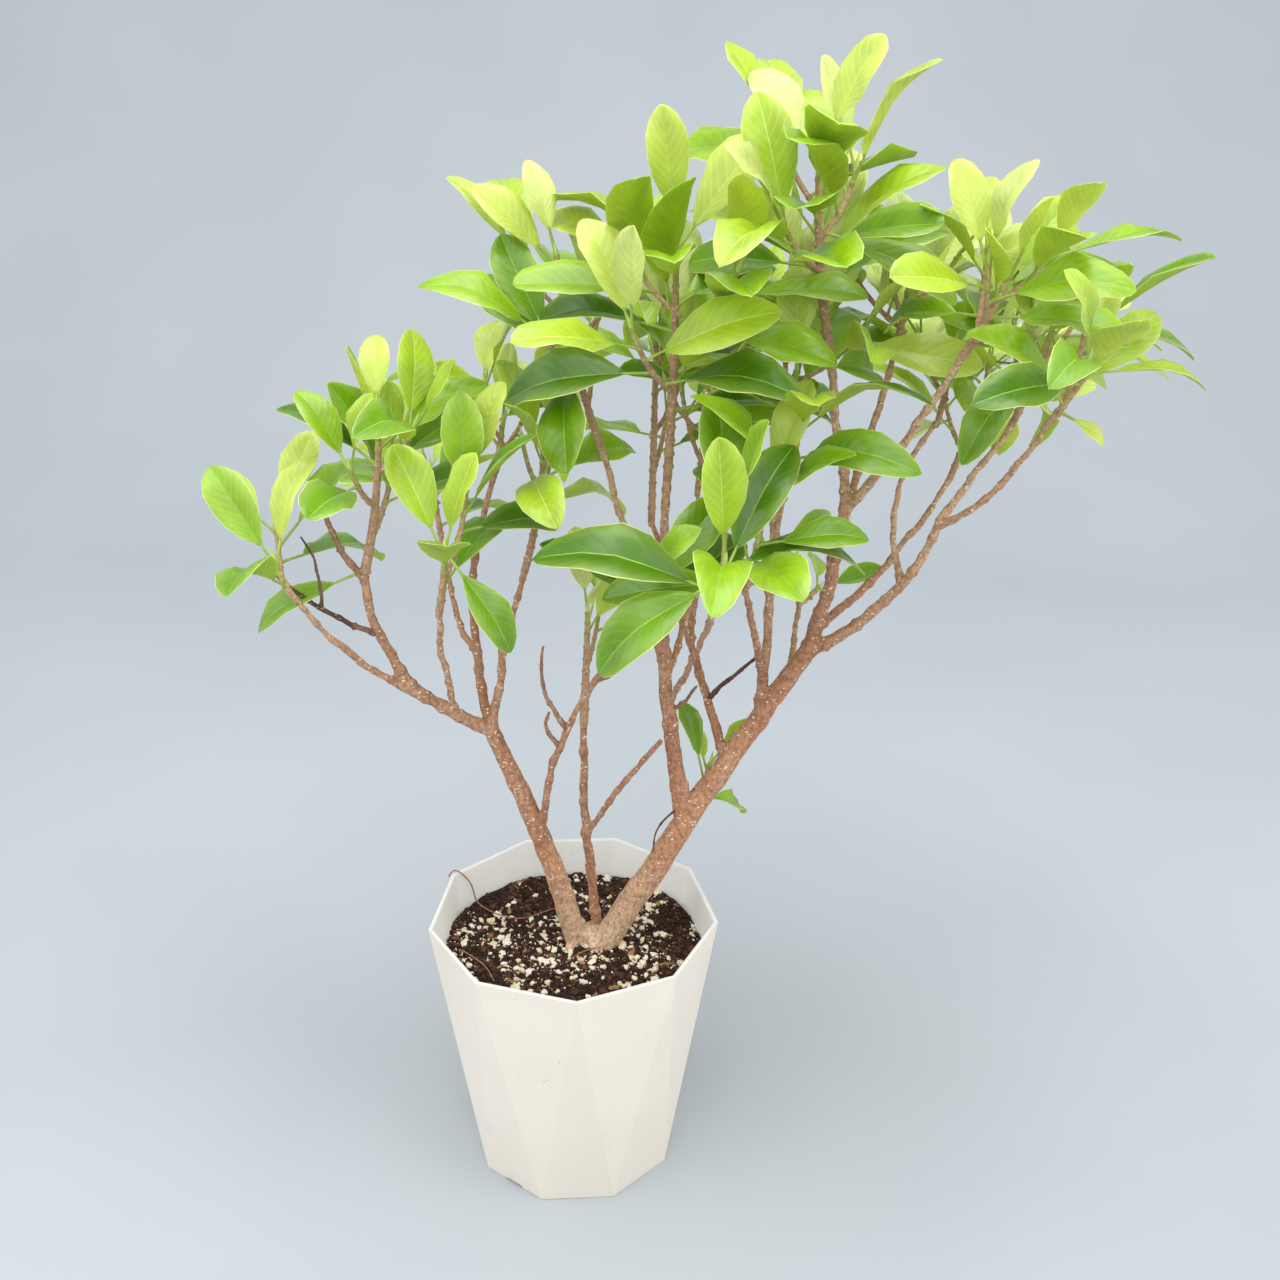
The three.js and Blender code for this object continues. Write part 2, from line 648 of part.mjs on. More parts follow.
/** Leaves of a mass, from each shoot's tip downward: one that would leave the space or touch is left out. */
function growLeaves(crown, shoots, mass, chance, owner) {
  const leaves = [];
  const space = shoots[0].lines();
  shoots.forEach((shoot, index) => {
    const first = 360 * chance.share();
    for (let age = 0; age < mass.leaves; age += 1) {
      const back = LEAF_FIRST_BACK + LEAF_STEP * age + LEAF_STEP_GAIN * age * age;
      if (back > LEAFY_SHARE * shoot.length) break;
      const share = 1 - back / shoot.length;
      const grown = Math.min(1, LEAF_YOUNG_SHARE + LEAF_GAIN * age);
      const length = mass.leaf * grown * chance.around(1, LEAF_LENGTH_SPREAD);
      const looks = {
        length,
        width: length * chance.around(LEAF_WIDTH_SHARE, LEAF_WIDTH_SPREAD),
        stalk: chance.around(STALK_LENGTH, STALK_LENGTH_SPREAD),
        drop: LEAF_DROP + LEAF_DROP_GAIN * age + chance.around(0, LEAF_DROP_SPREAD),
        fold: radians(chance.around(LEAF_FOLD, LEAF_FOLD_SPREAD)),
        roll: radians(chance.around(0, LEAF_ROLL_SPREAD)),
      };
      const opened = Math.min(LEAF_WIDEST_OPENING, LEAF_OPENING + LEAF_OPENING_GAIN * age);
      const spread = opened + chance.around(0, LEAF_OPENING_SPREAD);
      const turn = first + age * GOLDEN_TURN + chance.around(0, LEAF_TURN_SPREAD);
      for (let attempt = 0; attempt < TRIES; attempt += 1) {
        const turned = turn + LEAF_RETRY_TURN * attempt;
        const leaf = makeLeaf(shoot, share, looks, turned, spread - LEAF_RETRY_CLOSING * attempt);
        const tip = leaf.point(1, 0);
        const inside = space.some(({ line }) => gapTo(line, tip) <= SPACE);
        const stalkPoints = [0.5, 1].map((at) => {
          return leaf.root.clone().addScaledVector(leaf.along, leaf.sunk + looks.stalk * at);
        });
        const name = `${owner}/${index}`;
        const clear = inside && crown.pointsFree(stalkPoints, STALK_TEST_RADIUS, STALK_TEST_RADIUS, name);
        if (clear && crown.leafFree(leaf)) {
          crown.addLeaf(leaf, name);
          leaves.push(leaf);
          break;
        }
      }
    }
  });
  return leaves;
}

/** Pot form between its rim and its foot, with every corner drawn in. */
function potForm(inset) {
  const geometry = new THREE.CylinderGeometry(RIM_RADIUS - inset, FOOT_RADIUS - inset, POT_HEIGHT, POT_SIDES);
  const halfSide = new THREE.Matrix4().makeRotationY(-Math.PI / POT_SIDES);
  const position = geometry.attributes.position;
  const vertex = new THREE.Vector3();
  for (let i = 0; i < position.count; i += 1) {
    vertex.fromBufferAttribute(position, i);
    if (vertex.y > 0) vertex.applyMatrix4(halfSide);
    position.setXYZ(i, vertex.x, vertex.y, vertex.z);
  }
  geometry.rotateX(Math.PI / 2).rotateZ(radians(FOOT_BEARING + 90)).translate(0, 0, POT_HEIGHT / 2);
  return toSolid(geometry);
}

/** Level block, wider than the pot, between two heights. */
function levelBlock(low, high) {
  const side = 4 * RIM_RADIUS;
  return toSolid(new THREE.BoxGeometry(side, side, high - low).translate(0, 0, (low + high) / 2));
}

const cornerShare = Math.cos(Math.PI / POT_SIDES);

function makePot() {
  const hollow = potForm(POT_WALL / cornerShare).translate([0, 0, RIM_OVERCUT]);
  let pot = potForm(0).subtract(hollow.subtract(levelBlock(-POT_HEIGHT, POT_FLOOR)));
  for (let k = 0; k < NOTCH_COUNT; k += 1) {
    const notch = new THREE.BoxGeometry(2 * NOTCH_DEPTH, NOTCH_WIDTH, 2 * NOTCH_HEIGHT);
    const bearing = NOTCH_BEARING + (360 / NOTCH_COUNT) * k;
    notch.translate(FOOT_RADIUS * cornerShare, 0, 0).rotateZ(radians(bearing));
    pot = pot.subtract(toSolid(notch));
  }
  return pot;
}

function makeSoil() {
  const filling = potForm((POT_WALL + GAP) / cornerShare).translate([0, 0, RIM_OVERCUT]);
  return filling.intersect(levelBlock(POT_FLOOR, GROUND));
}

/** Root flare: a hollow-sided mound with ridges, flat where it meets the soil, or grown by a margin. */
function makeFlare(margin = 0) {
  const steps = 6;
  const profile = [new THREE.Vector2(0, 0)];
  for (let i = 0; i <= steps; i += 1) {
    const share = i / steps;
    profile.push(new THREE.Vector2(FLARE_RADIUS * (1 - share ** FLARE_HOLLOW), FLARE_HEIGHT * share));
  }
  const geometry = new THREE.LatheGeometry(profile, 4 * FLARE_RIDGES).rotateX(Math.PI / 2);
  const position = geometry.attributes.position;
  const vertex = new THREE.Vector3();
  for (let i = 0; i < position.count; i += 1) {
    vertex.fromBufferAttribute(position, i);
    const ridge = Math.cos(FLARE_RIDGES * Math.atan2(vertex.y, vertex.x)) * (1 - vertex.z / FLARE_HEIGHT);
    const radius = Math.hypot(vertex.x, vertex.y);
    const scale = radius > 0 ? 1 + FLARE_RIDGE_SHARE * ridge + margin / radius : 1;
    const lift = vertex.z > 0 ? margin : 0;
    position.setXYZ(i, vertex.x * scale, vertex.y * scale, vertex.z + lift);
  }
  geometry.translate(FLARE_CENTRE[0], FLARE_CENTRE[1], GROUND);
  return toSolid(geometry);
}

const plant = new THREE.Group();
plant.add(toMesh('pot', makePot(), 'pot'));
plant.add(toMesh('soil', makeSoil(), 'soil'));
plant.add(toMesh('root_flare', makeFlare(), 'flare'));

// Limbs: each is cut clear of the flare and of every limb before it
const limbs = {};
const grownLimbs = { root_flare: makeFlare(GAP) };

function addLimb(name, limb, faces, finish) {
  const clear = Object.values(grownLimbs).reduce((solid, other) => solid.subtract(other), limb.solid(faces));
  plant.add(toMesh(name, largestBody(clear), finish));
  grownLimbs[name] = limb.solid(faces, GAP);
  limbs[name] = limb;
}

for (const [name, stem] of Object.entries(STEMS)) {
  addLimb(name, new Limb(new THREE.Vector3(...stem.foot, FOOT_LEVEL), stem), STEM_FACES, 'stem');
}
for (const [name, bough] of Object.entries(BOUGHS)) {
  addLimb(name, new Limb(limbs[bough.from].point(bough.at), bough), BOUGH_FACES, 'bough');
}

/** Stem of a mass: it grows on from a bough's tip, or out of the side of a stem. */
function massStem(mass) {
  const parent = limbs[mass.from];
  const onTip = mass.at === undefined;
  const start = onTip ? parent.tip.clone().addScaledVector(parent.tangent(1), GAP) : parent.point(mass.at);
  const radius = onTip ? parent.radii[1] : SPROUT_RADIUS;
  return new Limb(start, { ...mass, sag: STEM_SAG_SHARE * mass.length, radii: [radius, STEM_TIP_RADIUS] });
}

// Foliage: every stem is known before the first leaf grows
const crown = new Crown();
const stems = {};
const standing = { ...grownLimbs };
for (const [name, limb] of Object.entries(limbs)) {
  crown.addLines(limb.lines(name));
}
for (const [name, mass] of Object.entries(MASSES)) {
  stems[name] = massStem(mass);
  standing[name] = stems[name].solid(TWIG_FACES, GAP);
  crown.addLines(stems[name].lines(`${name}/0`));
}

/** Whether a piece of a mass touches nothing but its own mass and the limb that bears it. */
function standsClear(piece, name, bearer) {
  const others = Object.keys(standing).filter((other) => other !== name && other !== bearer);
  return others.every((other) => standing[other].intersect(piece).isEmpty());
}

for (const [name, mass] of Object.entries(MASSES)) {
  const chance = new Chance(mass.seed);
  const shoots = growTwigs(crown, stems[name], mass, chance, name);
  const leaves = growLeaves(crown, shoots, mass, chance, name);
  const twigs = shoots.slice(1).map((twig) => twig.solid(TWIG_FACES));
  const pieces = [...twigs, ...leaves.map((leaf) => leaf.solid())];
  const clear = pieces.filter((piece) => standsClear(piece, name, mass.from));
  const fused = wasm.Manifold.union([stems[name].solid(TWIG_FACES), ...clear]);
  const body = largestBody(fused.subtract(grownLimbs[mass.from]));
  standing[name] = body.asOriginal().simplify(SLIVER);
  plant.add(toMesh(name, standing[name], 'leaves'));
}

export default plant;
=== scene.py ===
"""Potted ficus: a nine-sided pot of soil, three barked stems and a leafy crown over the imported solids."""
from __future__ import annotations

import json
import logging
import math
from dataclasses import dataclass
from enum import Enum
from typing import Any, Iterable, Sequence

import bmesh
import bpy
import numpy as np
from mathutils import Matrix, Vector, kdtree, noise

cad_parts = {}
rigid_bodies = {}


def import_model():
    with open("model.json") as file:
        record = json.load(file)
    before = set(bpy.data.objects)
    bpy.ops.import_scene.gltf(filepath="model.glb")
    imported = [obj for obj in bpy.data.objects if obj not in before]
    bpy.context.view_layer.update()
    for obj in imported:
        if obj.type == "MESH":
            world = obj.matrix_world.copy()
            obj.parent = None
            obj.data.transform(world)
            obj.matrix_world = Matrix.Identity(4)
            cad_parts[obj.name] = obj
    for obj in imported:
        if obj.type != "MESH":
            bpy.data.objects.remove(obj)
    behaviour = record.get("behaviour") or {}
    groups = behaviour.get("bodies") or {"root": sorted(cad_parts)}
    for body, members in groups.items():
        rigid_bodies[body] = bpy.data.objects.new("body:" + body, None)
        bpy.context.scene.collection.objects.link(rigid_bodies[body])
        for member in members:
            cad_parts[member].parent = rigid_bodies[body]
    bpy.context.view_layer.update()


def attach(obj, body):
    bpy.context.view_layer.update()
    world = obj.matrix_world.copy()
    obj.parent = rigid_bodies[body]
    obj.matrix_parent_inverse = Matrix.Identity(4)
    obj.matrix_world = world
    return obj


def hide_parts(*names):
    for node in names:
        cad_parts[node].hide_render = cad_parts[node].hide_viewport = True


LOG = logging.getLogger("potted_ficus")
MM = 0.001
BODY = "root"
AGE = "wood_age"
BLADE_MAP = "blade"
Vec = np.ndarray
Pair = tuple[float, float]
Point = tuple[float, float, float]
Colour = tuple[float, float, float, float]
Socket = bpy.types.NodeSocket
UP = np.array([0.0, 0.0, 1.0])
GROUND = 150.0
FOOT_LEVEL = GROUND + 2
TRUNK = (10.0, 2.0)
GAP = 0.3
TINY = 1e-9
CUT_SLACK = 1e-7
LEVEL_SLACK = 1e-6
CORNER_CUT = 0.25
CORNER_PASSES = 2

# Seeded chance
CHANCE_FACTOR = 1664525
CHANCE_STEP = 1013904223
CHANCE_RANGE = 2 ** 32

# Curve of screen colours
SCREEN_STEPS = 255
DARK_SLOPE = 12.92
DARK_END = 0.04045
CURVE_LIFT = 0.055
CURVE_POWER = 2.4

# Numbers of a mix node's colour sockets
MIX_FIRST = 6
MIX_SECOND = 7
MIX_RESULT = 2


class Slot(Enum):
    """Material slots of the record."""

    POT = "pot"
    SOIL = "soil"
    BARK = "bark"
    FOLIAGE = "foliage"


@dataclass(frozen=True)
class LimbSize:
    """Sizes of a limb in millimetres and degrees: a stem rises from a foot, a bough leaves its parent."""

    name: str
    parent: str
    at: float
    length: float
    bearing: float
    rise: float
    sag: float
    sway: float
    radii: Pair
    foot: Pair = (0, 0)


@dataclass(frozen=True)
class MassSize:
    """Sizes of a leafy shoot in millimetres and degrees, and how much older and darker than others its leaves
    look; the darkening is partly leaf age and partly painted shade, mostly darker on low and inner masses and
    lighter on high ones.

    It grows on from a bough's tip unless a share of the bough is given.
    """

    name: str
    parent: str
    length: float
    bearing: float
    rise: float
    twigs: int
    leaves: int
    twig: float
    leaf: float
    seed: int
    age_and_shade: float = 0
    at: float | None = None


@dataclass(frozen=True)
class LoneLeaf:
    """A leaf that stands out from its mass, in millimetres and degrees, on one of the mass's shoots."""

    mass: str
    twig: int
    at: float
    bearing: float
    rise: float
    length: float
    stalk: float
    breadth: float = 0.45
    roll: float = 0
    drop: float = 0.06
    age: int = 2


STEMS: tuple[LimbSize, ...] = (
    LimbSize("left_stem", "", 0, 159, -173, 72, -3, 0, (7.4, 4.6), (2, 0)),
    LimbSize("middle_stem", "", 0, 142, 128, 84, 1, 3, (3.3, 2.2), (15, 13)),
    LimbSize("right_stem", "", 0, 229, 6, 59, -2, 0, (8.8, 5.2), (19, -2)),
)
BOUGHS: tuple[LimbSize, ...] = (
    LimbSize("left_bough", "left_stem", 1, 118, -173, 56, 18, 2, (3.7, 2.3)),
    LimbSize("left_low_bough", "left_bough", 0.3, 106, -159, 46, 7, -1, (2.5, 1.6)),
    LimbSize("left_inner_bough", "left_bough", 0.17, 86, -92, 66, 0, -2, (2.2, 1.7)),
    LimbSize("left_back_bough", "left_stem", 1, 152, 88, 68, 8, 13, (2.9, 1.7)),
    LimbSize("left_centre_bough", "left_stem", 0.99, 96, 47, 73, -3, 0, (2.7, 1.8)),
    LimbSize("left_side_bough", "left_stem", 0.47, 172, -30, 67, -13, -7, (2.5, 1.6)),
    LimbSize("left_rear_bough", "left_back_bough", 0.3, 104, 108, 17, 17, 0, (2.1, 1.6)),
    LimbSize("cut_stub", "middle_stem", 0.47, 98, -34, 57, -2, 0, (1.9, 1.7)),
    LimbSize("leader", "right_stem", 0.43, 216, -176, 86, 7, 2, (5.3, 2.1)),
    LimbSize("crown_left_bough", "leader", 0.46, 134, 145, 70, 0, -1, (2.5, 1.7)),
    LimbSize("front_bough", "leader", 0.36, 97, -73, 51, -4, 2, (1.9, 1.6)),
    LimbSize("inner_bough", "leader", 0.45, 110, 67, 67, 8, -3, (2.1, 1.5)),
    LimbSize("crossing_bough", "right_stem", 0.63, 152, 125, 58, 4, -4, (3, 1.8)),
    LimbSize("back_bough", "crossing_bough", 0.5, 126, 79, 50, 19, 4, (2.3, 1.6)),
    LimbSize("fork_bough", "right_stem", 0.78, 171, 77, 85, 2, -2, (3.1, 1.8)),
    LimbSize("fork_front_bough", "fork_bough", 0.14, 93, -108, 55, -1, 0, (2.3, 1.6)),
    LimbSize("fork_right_bough", "fork_bough", 0.52, 79, -84, 64, -1, -1, (2.1, 1.6)),
    LimbSize("back_low_bough", "right_stem", 0.93, 68, 81, 15, 1, 1, (2.1, 1.6)),
    LimbSize("rising_bough", "right_stem", 1, 90, -24, 80, 2, 0, (4, 3.3)),
    LimbSize("tall_bough", "rising_bough", 1, 92, -165, 80, -1, 0, (2.9, 2.2)),
    LimbSize("upper_bough", "rising_bough", 1, 94, 46, 67, 4, 1, (2.4, 1.7)),
    LimbSize("right_bough", "rising_bough", 0.98, 110, -34, 58, 3, -2, (2.6, 1.8)),
    LimbSize("back_right_bough", "rising_bough", 0.18, 139, 45, 27, 11, 1, (2.6, 1.7)),
    LimbSize("right_low_bough", "right_stem", 1, 108, -13, 52, 11, 1, (3.5, 2.3)),
    LimbSize("outer_bough", "right_low_bough", 0.97, 84, -34, 51, 6, 3, (2, 1.6)),
    LimbSize("outer_high_bough", "right_low_bough", 1, 66, 30, 47, 2, 2, (2.2, 1.7)),
    LimbSize("middle_right_bough", "right_low_bough", 0.62, 95, 65, 59, -1, 13, (2, 1.5)),
)
# The column after the seed, where given, darkens or lightens a mass's leaves: partly leaf age, partly painted
# shade, mostly darker on low and inner masses and lighter on high ones.
MASSES: tuple[MassSize, ...] = (
    MassSize("front_leaves", "front_bough", 55, -77, 60, 1, 4, 42, 65, 24, 2.3),
    MassSize("far_left_leaves", "left_low_bough", 17, 180, 70, 1, 5, 40, 61, 76, 1.3),
    MassSize("left_high_leaves", "left_bough", 86, -8, 81, 3, 4, 48, 48, 43, 0.9),
    MassSize("left_inner_leaves", "left_inner_bough", 38, -45, 79, 1, 4, 52, 53, 91, 1.4),
    MassSize("fork_front_leaves", "fork_front_bough", 39, -81, 59, 1, 5, 42, 57, 70, 1.2),
    MassSize("side_leaves", "left_side_bough", 28, -75, 68, 0, 5, 0, 52, 93, 1.5),
    MassSize("centre_top_leaves", "leader", 127, -74, 87, 4, 6, 52, 60, 47, -0.3),
    MassSize("top_leaves", "tall_bough", 96, -162, 83, 4, 6, 50, 60, 19, -0.5),
    MassSize("right_high_leaves", "right_bough", 45, -24, 66, 3, 6, 46, 48, 88, -0.2),
    MassSize("outer_low_leaves", "outer_bough", 36, -44, 61, 2, 4, 46, 51, 27, 0.8),
    MassSize("outer_high_leaves", "outer_high_bough", 54, 25, 69, 3, 5, 50, 49, 79, -0.7),
    MassSize("crown_left_leaves", "crown_left_bough", 109, -165, 77, 4, 5, 50, 51, 36, 0.7),
    MassSize("centre_low_leaves", "left_centre_bough", 78, -3, 81, 2, 4, 46, 49, 20, -0.8),
    MassSize("left_crown_leaves", "left_back_bough", 24, 69, 71, 2, 4, 46, 46, 10, -0.4),
    MassSize("fork_right_leaves", "fork_right_bough", 29, -72, 73, 1, 5, 44, 59, 78, 1.6),
    MassSize("fork_top_leaves", "fork_bough", 55, 17, 75, 3, 5, 48, 57, 80, -1.6),
    MassSize("upper_leaves", "upper_bough", 27, 52, 75, 3, 6, 44, 46, 63, -1.7),
    MassSize("inner_leaves", "inner_bough", 52, 47, 87, 2, 4, 46, 59, 35),
    MassSize("middle_right_leaves", "middle_right_bough", 45, 51, 75, 2, 4, 44, 55, 89),
    MassSize("centre_back_leaves", "crossing_bough", 109, 86, 82, 3, 5, 48, 51, 92),
    MassSize("middle_leaves", "middle_stem", 66, 87, 66, 1, 3, 40, 48, 15),
    MassSize("back_right_leaves", "back_right_bough", 72, 46, 63, 3, 5, 50, 59, 57, -1.2),
    MassSize("back_low_leaves", "back_low_bough", 29, 61, 0, 1, 5, 42, 44, 99, 2),
    MassSize("back_leaves", "back_bough", 67, 93, 72, 3, 6, 50, 59, 18),
    MassSize("left_rear_leaves", "left_rear_bough", 45, 116, 70, 2, 5, 46, 47, 84),
    MassSize("low_sprout", "right_stem", 26, 71, 35, 0, 5, 0, 32, 18, at=0.5),
)
BARE_TWIGS: tuple[LimbSize, ...] = (
    LimbSize("left_dead_twig", "left_side_bough", 0.52, 49, 134, 66, 5, 4, (1.5, 0.7)),
    LimbSize("left_dead_spur", "left_side_bough", 0.44, 26, -133, 72, 2, -2, (1.4, 0.8)),
    LimbSize("left_bare_stub", "left_bough", 0.98, 63, -159, 69, 3, -1, (1.9, 1.1)),
    LimbSize("green_spur", "left_side_bough", 0.75, 27, -23, 40, 3, 1, (1.5, 0.9)),
    LimbSize("thin_twig", "leader", 0.36, 27, -32, 47, 2, 2, (1.3, 0.7)),
    LimbSize("dark_fork", "crossing_bough", 0.26, 43, -16, 48, 0, 1, (1.5, 0.8)),
    LimbSize("dark_twig", "left_bough", 0.73, 70, -165, 38, 5, -1, (1.7, 0.9)),
    LimbSize("dark_prong", "dark_twig", 0.78, 16, 160, 60, 1, 1, (1, 0.6)),
    LimbSize("dark_curl", "dark_twig", 0.5, 42, 178, 80, -5, 3, (1, 0.5)),
    LimbSize("dry_twig", "right_stem", 0.48, 37, -147, -36, -9, -3, (0.8, 0.4)),
)
LONE_LEAVES: tuple[LoneLeaf, ...] = (
    LoneLeaf("front_leaves", 0, 0.8, -160, -25, 60, 14, 0.5, age=1),
    LoneLeaf("left_inner_leaves", 0, 0.95, -31, -44, 46, 14, age=3),
    LoneLeaf("left_high_leaves", 0, 0.03, -170, -21, 51, 16, 0.42, age=3),
    LoneLeaf("fork_front_leaves", 0, 0.95, -12, 15, 42, 12, age=4),
    LoneLeaf("outer_low_leaves", 1, 0.75, 10, -2, 50, 12, 0.4, -14, 0.1, 2),
    LoneLeaf("outer_low_leaves", 0, 0.92, -5, 6, 44, 13, 0.4, -25, age=2),
    LoneLeaf("outer_low_leaves", 0, 0.25, -31, -21, 20, 6, drop=0.12, age=0),
    LoneLeaf("right_high_leaves", 3, 0.85, 9, 15, 54, 14, 0.4, -18, age=2),
)
DARK_TWIGS = ("dark_fork", "dark_twig", "dark_prong", "dark_curl", "dry_twig")


@dataclass(frozen=True)
class TwigHabit:
    """How side twigs leave a shoot, in millimetres and degrees."""

    first_share: float = 0.15
    span_share: float = 0.65
    length_spread: float = 0.2
    lowest_length: float = 1.15
    shortening: float = 0.4
    lean: float = 48
    lean_spread: float = 12
    turn_spread: float = 25
    retry_turn: float = 50
    lift: float = 0.3
    sag_share: float = 0.08
    radius_share: float = 0.75
    tip_radius: float = 1.0
    test_shares: tuple[float, ...] = (0.4, 0.55, 0.7, 0.85, 1)
    test_radius: float = 1.2
    room: float = 2.0
    stem_sag_share: float = 0.03
    stem_tip_radius: float = 1.2
    sprout_radius: float = 1.6


@dataclass(frozen=True)
class LeafHabit:
    """How leaves sit on a shoot and what shape they have, in millimetres and degrees."""

    first_back: float = 1.0
    step: float = 4.5
    step_gain: float = 0.9
    leafy_share: float = 0.9
    young_share: float = 0.76
    gain: float = 0.12
    length_spread: float = 0.12
    width_share: float = 0.5
    width_spread: float = 0.05
    stalk: float = 14
    stalk_spread: float = 3
    stalk_test_radius: float = 0.8
    stalk_tests: Pair = (0.5, 1)
    drop: float = 0.04
    drop_gain: float = 0.035
    drop_spread: float = 0.04
    fold: float = 18
    fold_spread: float = 6
    roll_spread: float = 22
    opening: float = 24
    opening_gain: float = 15
    widest_opening: float = 80
    opening_spread: float = 10
    turn_spread: float = 15
    retry_turn: float = 42
    retry_closing: float = 5
    lift: float = 0.12
    light_share: float = 0.6
    outline: Pair = (0.85, 0.62)
    reach_share: float = 0.62
    grown: float = 1.1
    test_shares: tuple[float, ...] = (0.15, 0.3, 0.5, 0.75, 0.9)


TWIG = TwigHabit()
LEAF = LeafHabit()
GOLDEN_TURN = 137.5
TRIES = 4
SPACE = 105.0
CLEARANCE = 1.2
LINE_STEPS = 12
LINE_MARGIN = 4.0
OUTLINE = ((0, 0), (0.25, 1), (0.75, 1), (1, 0), (0.75, -1), (0.25, -1))
OUTLINE_TIP = OUTLINE.index((1, 0))


class Chance:
    """Seeded chance, so that the plant grows the same way every time."""

    def __init__(self, seed: int) -> None:
        """Start from a seed."""
        self.state = seed

    def share(self) -> float:
        """A share from 0 to 1."""
        self.state = (self.state * CHANCE_FACTOR + CHANCE_STEP) % CHANCE_RANGE
        return self.state / CHANCE_RANGE

    def around(self, middle: float, spread: float) -> float:
        """A value at most a spread away from a middle."""
        return middle + spread * (2 * self.share() - 1)


def unit(vector: Vec) -> Vec:
    """The vector at a length of one, along its last axis."""
    return vector / np.linalg.norm(vector, axis=-1, keepdims=True)


def heading(bearing: float, rise: float) -> Vec:
    """Direction of a bearing from +X towards +Y and a rise over the level, in degrees.

    Args:
        bearing: Turn round the upright.
        rise: Angle over the level.

    Returns:
        A unit vector.
    """
    turn, lift = math.radians(bearing), math.radians(rise)
    return np.array([math.cos(lift) * math.cos(turn), math.cos(lift) * math.sin(turn), math.sin(lift)])


LIGHT = heading(-90, 50)


def tilt(axis: Vec, bearing: float, angle: float) -> Vec:
    """Direction that leans away from an axis towards a bearing.

    Args:
        axis: Unit vector to lean from.
        bearing: Bearing to lean towards, in degrees.
        angle: Lean, in degrees.

    Returns:
        A unit vector.
    """
    out = heading(bearing, 0)
    out = unit(out - axis * (out @ axis))
    return axis * math.cos(math.radians(angle)) + out * math.sin(math.radians(angle))


def gaps(points: Vec, starts: Vec, ends: Vec) -> Vec:
    """Distances from points to straight lines.

    Args:
        points: Points, one a row.
        starts: Starts of the lines, one a row.
        ends: Ends of the lines, one a row.

    Returns:
        One row of distances for each point.
    """
    along = ends - starts
    away = points[:, None] - starts[None]
    share = np.sum(away * along[None], axis=-1) / np.maximum(np.sum(along * along, axis=-1), TINY)
    return np.linalg.norm(away - np.clip(share, 0, 1)[..., None] * along[None], axis=-1)


def crosses(edges: Vec, triangles: Vec) -> bool:
    """Whether any edge passes through any triangle.

    Args:
        edges: Pairs of points.
        triangles: Triples of points.

    Returns:
        True where one does.
    """
    start = edges[:, None, 0]
    along = edges[:, None, 1] - start
    corner = triangles[None, :, 0]
    first = triangles[None, :, 1] - corner
    second = triangles[None, :, 2] - corner
    side = np.cross(along, second)
    size = np.sum(first * side, axis=-1)
    flat = np.abs(size) < TINY
    scale = 1 / np.where(flat, 1, size)
    away = start - corner
    across = np.sum(away * side, axis=-1) * scale
    turned = np.cross(away, first)
    up = np.sum(along * turned, axis=-1) * scale
    share = np.sum(second * turned, axis=-1) * scale
    inside = (across >= 0) & (up >= 0) & (across + up <= 1)
    return bool(np.any(~flat & inside & (share >= 0) & (share <= 1)))


class Limb:
    """A stem, bough or twig: a bowed line that thins towards its tip."""

    def __init__(self, start: Vec, length: float, bearing: float, rise: float, sag: float, sway: float,
                 radii: Pair) -> None:
        """Lay out the line.

        Args:
            start: Where it begins.
            length: Straight length to the tip.
            bearing: Bearing of the tip from the start, in degrees.
            rise: Rise of the tip over the start, in degrees.
            sag: How far the middle bows down.
            sway: How far the middle bows to the left of the heading.
            radii: Radius at the start and at the tip.
        """
        self.start = start
        self.length = length
        self.radii = radii
        self.tip = start + heading(bearing, rise) * length
        self.bend = (start + self.tip) / 2
        self.bend = self.bend + heading(bearing, rise - 90) * 2 * sag + heading(bearing + 90, 0) * 2 * sway

    def point(self, share: float) -> Vec:
        """Point at a share of the length."""
        return (1 - share) ** 2 * self.start + 2 * share * (1 - share) * self.bend + share * share * self.tip

    def tangent(self, share: float) -> Vec:
        """Direction at a share of the length."""
        return unit((1 - share) * (self.bend - self.start) + share * (self.tip - self.bend))

    def radius(self, share: float) -> float:
        """Radius at a share of the length."""
        return self.radii[0] + (self.radii[1] - self.radii[0]) * share

    def path(self, steps: int = LINE_STEPS) -> Vec:
        """Points along the limb, one a row."""
        return np.array([self.point(i / steps) for i in range(steps + 1)])


def half_breadth(width: float, share: Any, outline: Pair) -> Any:
    """Half the breadth of a blade.

    Args:
        width: Breadth where it is widest.
        share: Share of its length, or many shares.
        outline: How slowly it widens from its base and from its tip.

    Returns:
        The half breadth at each share.
    """
    base, tip = outline
    widest = base / (base + tip)
    most = widest ** base * (1 - widest) ** tip
    return width / 2 * share ** base * (1 - share) ** tip / most


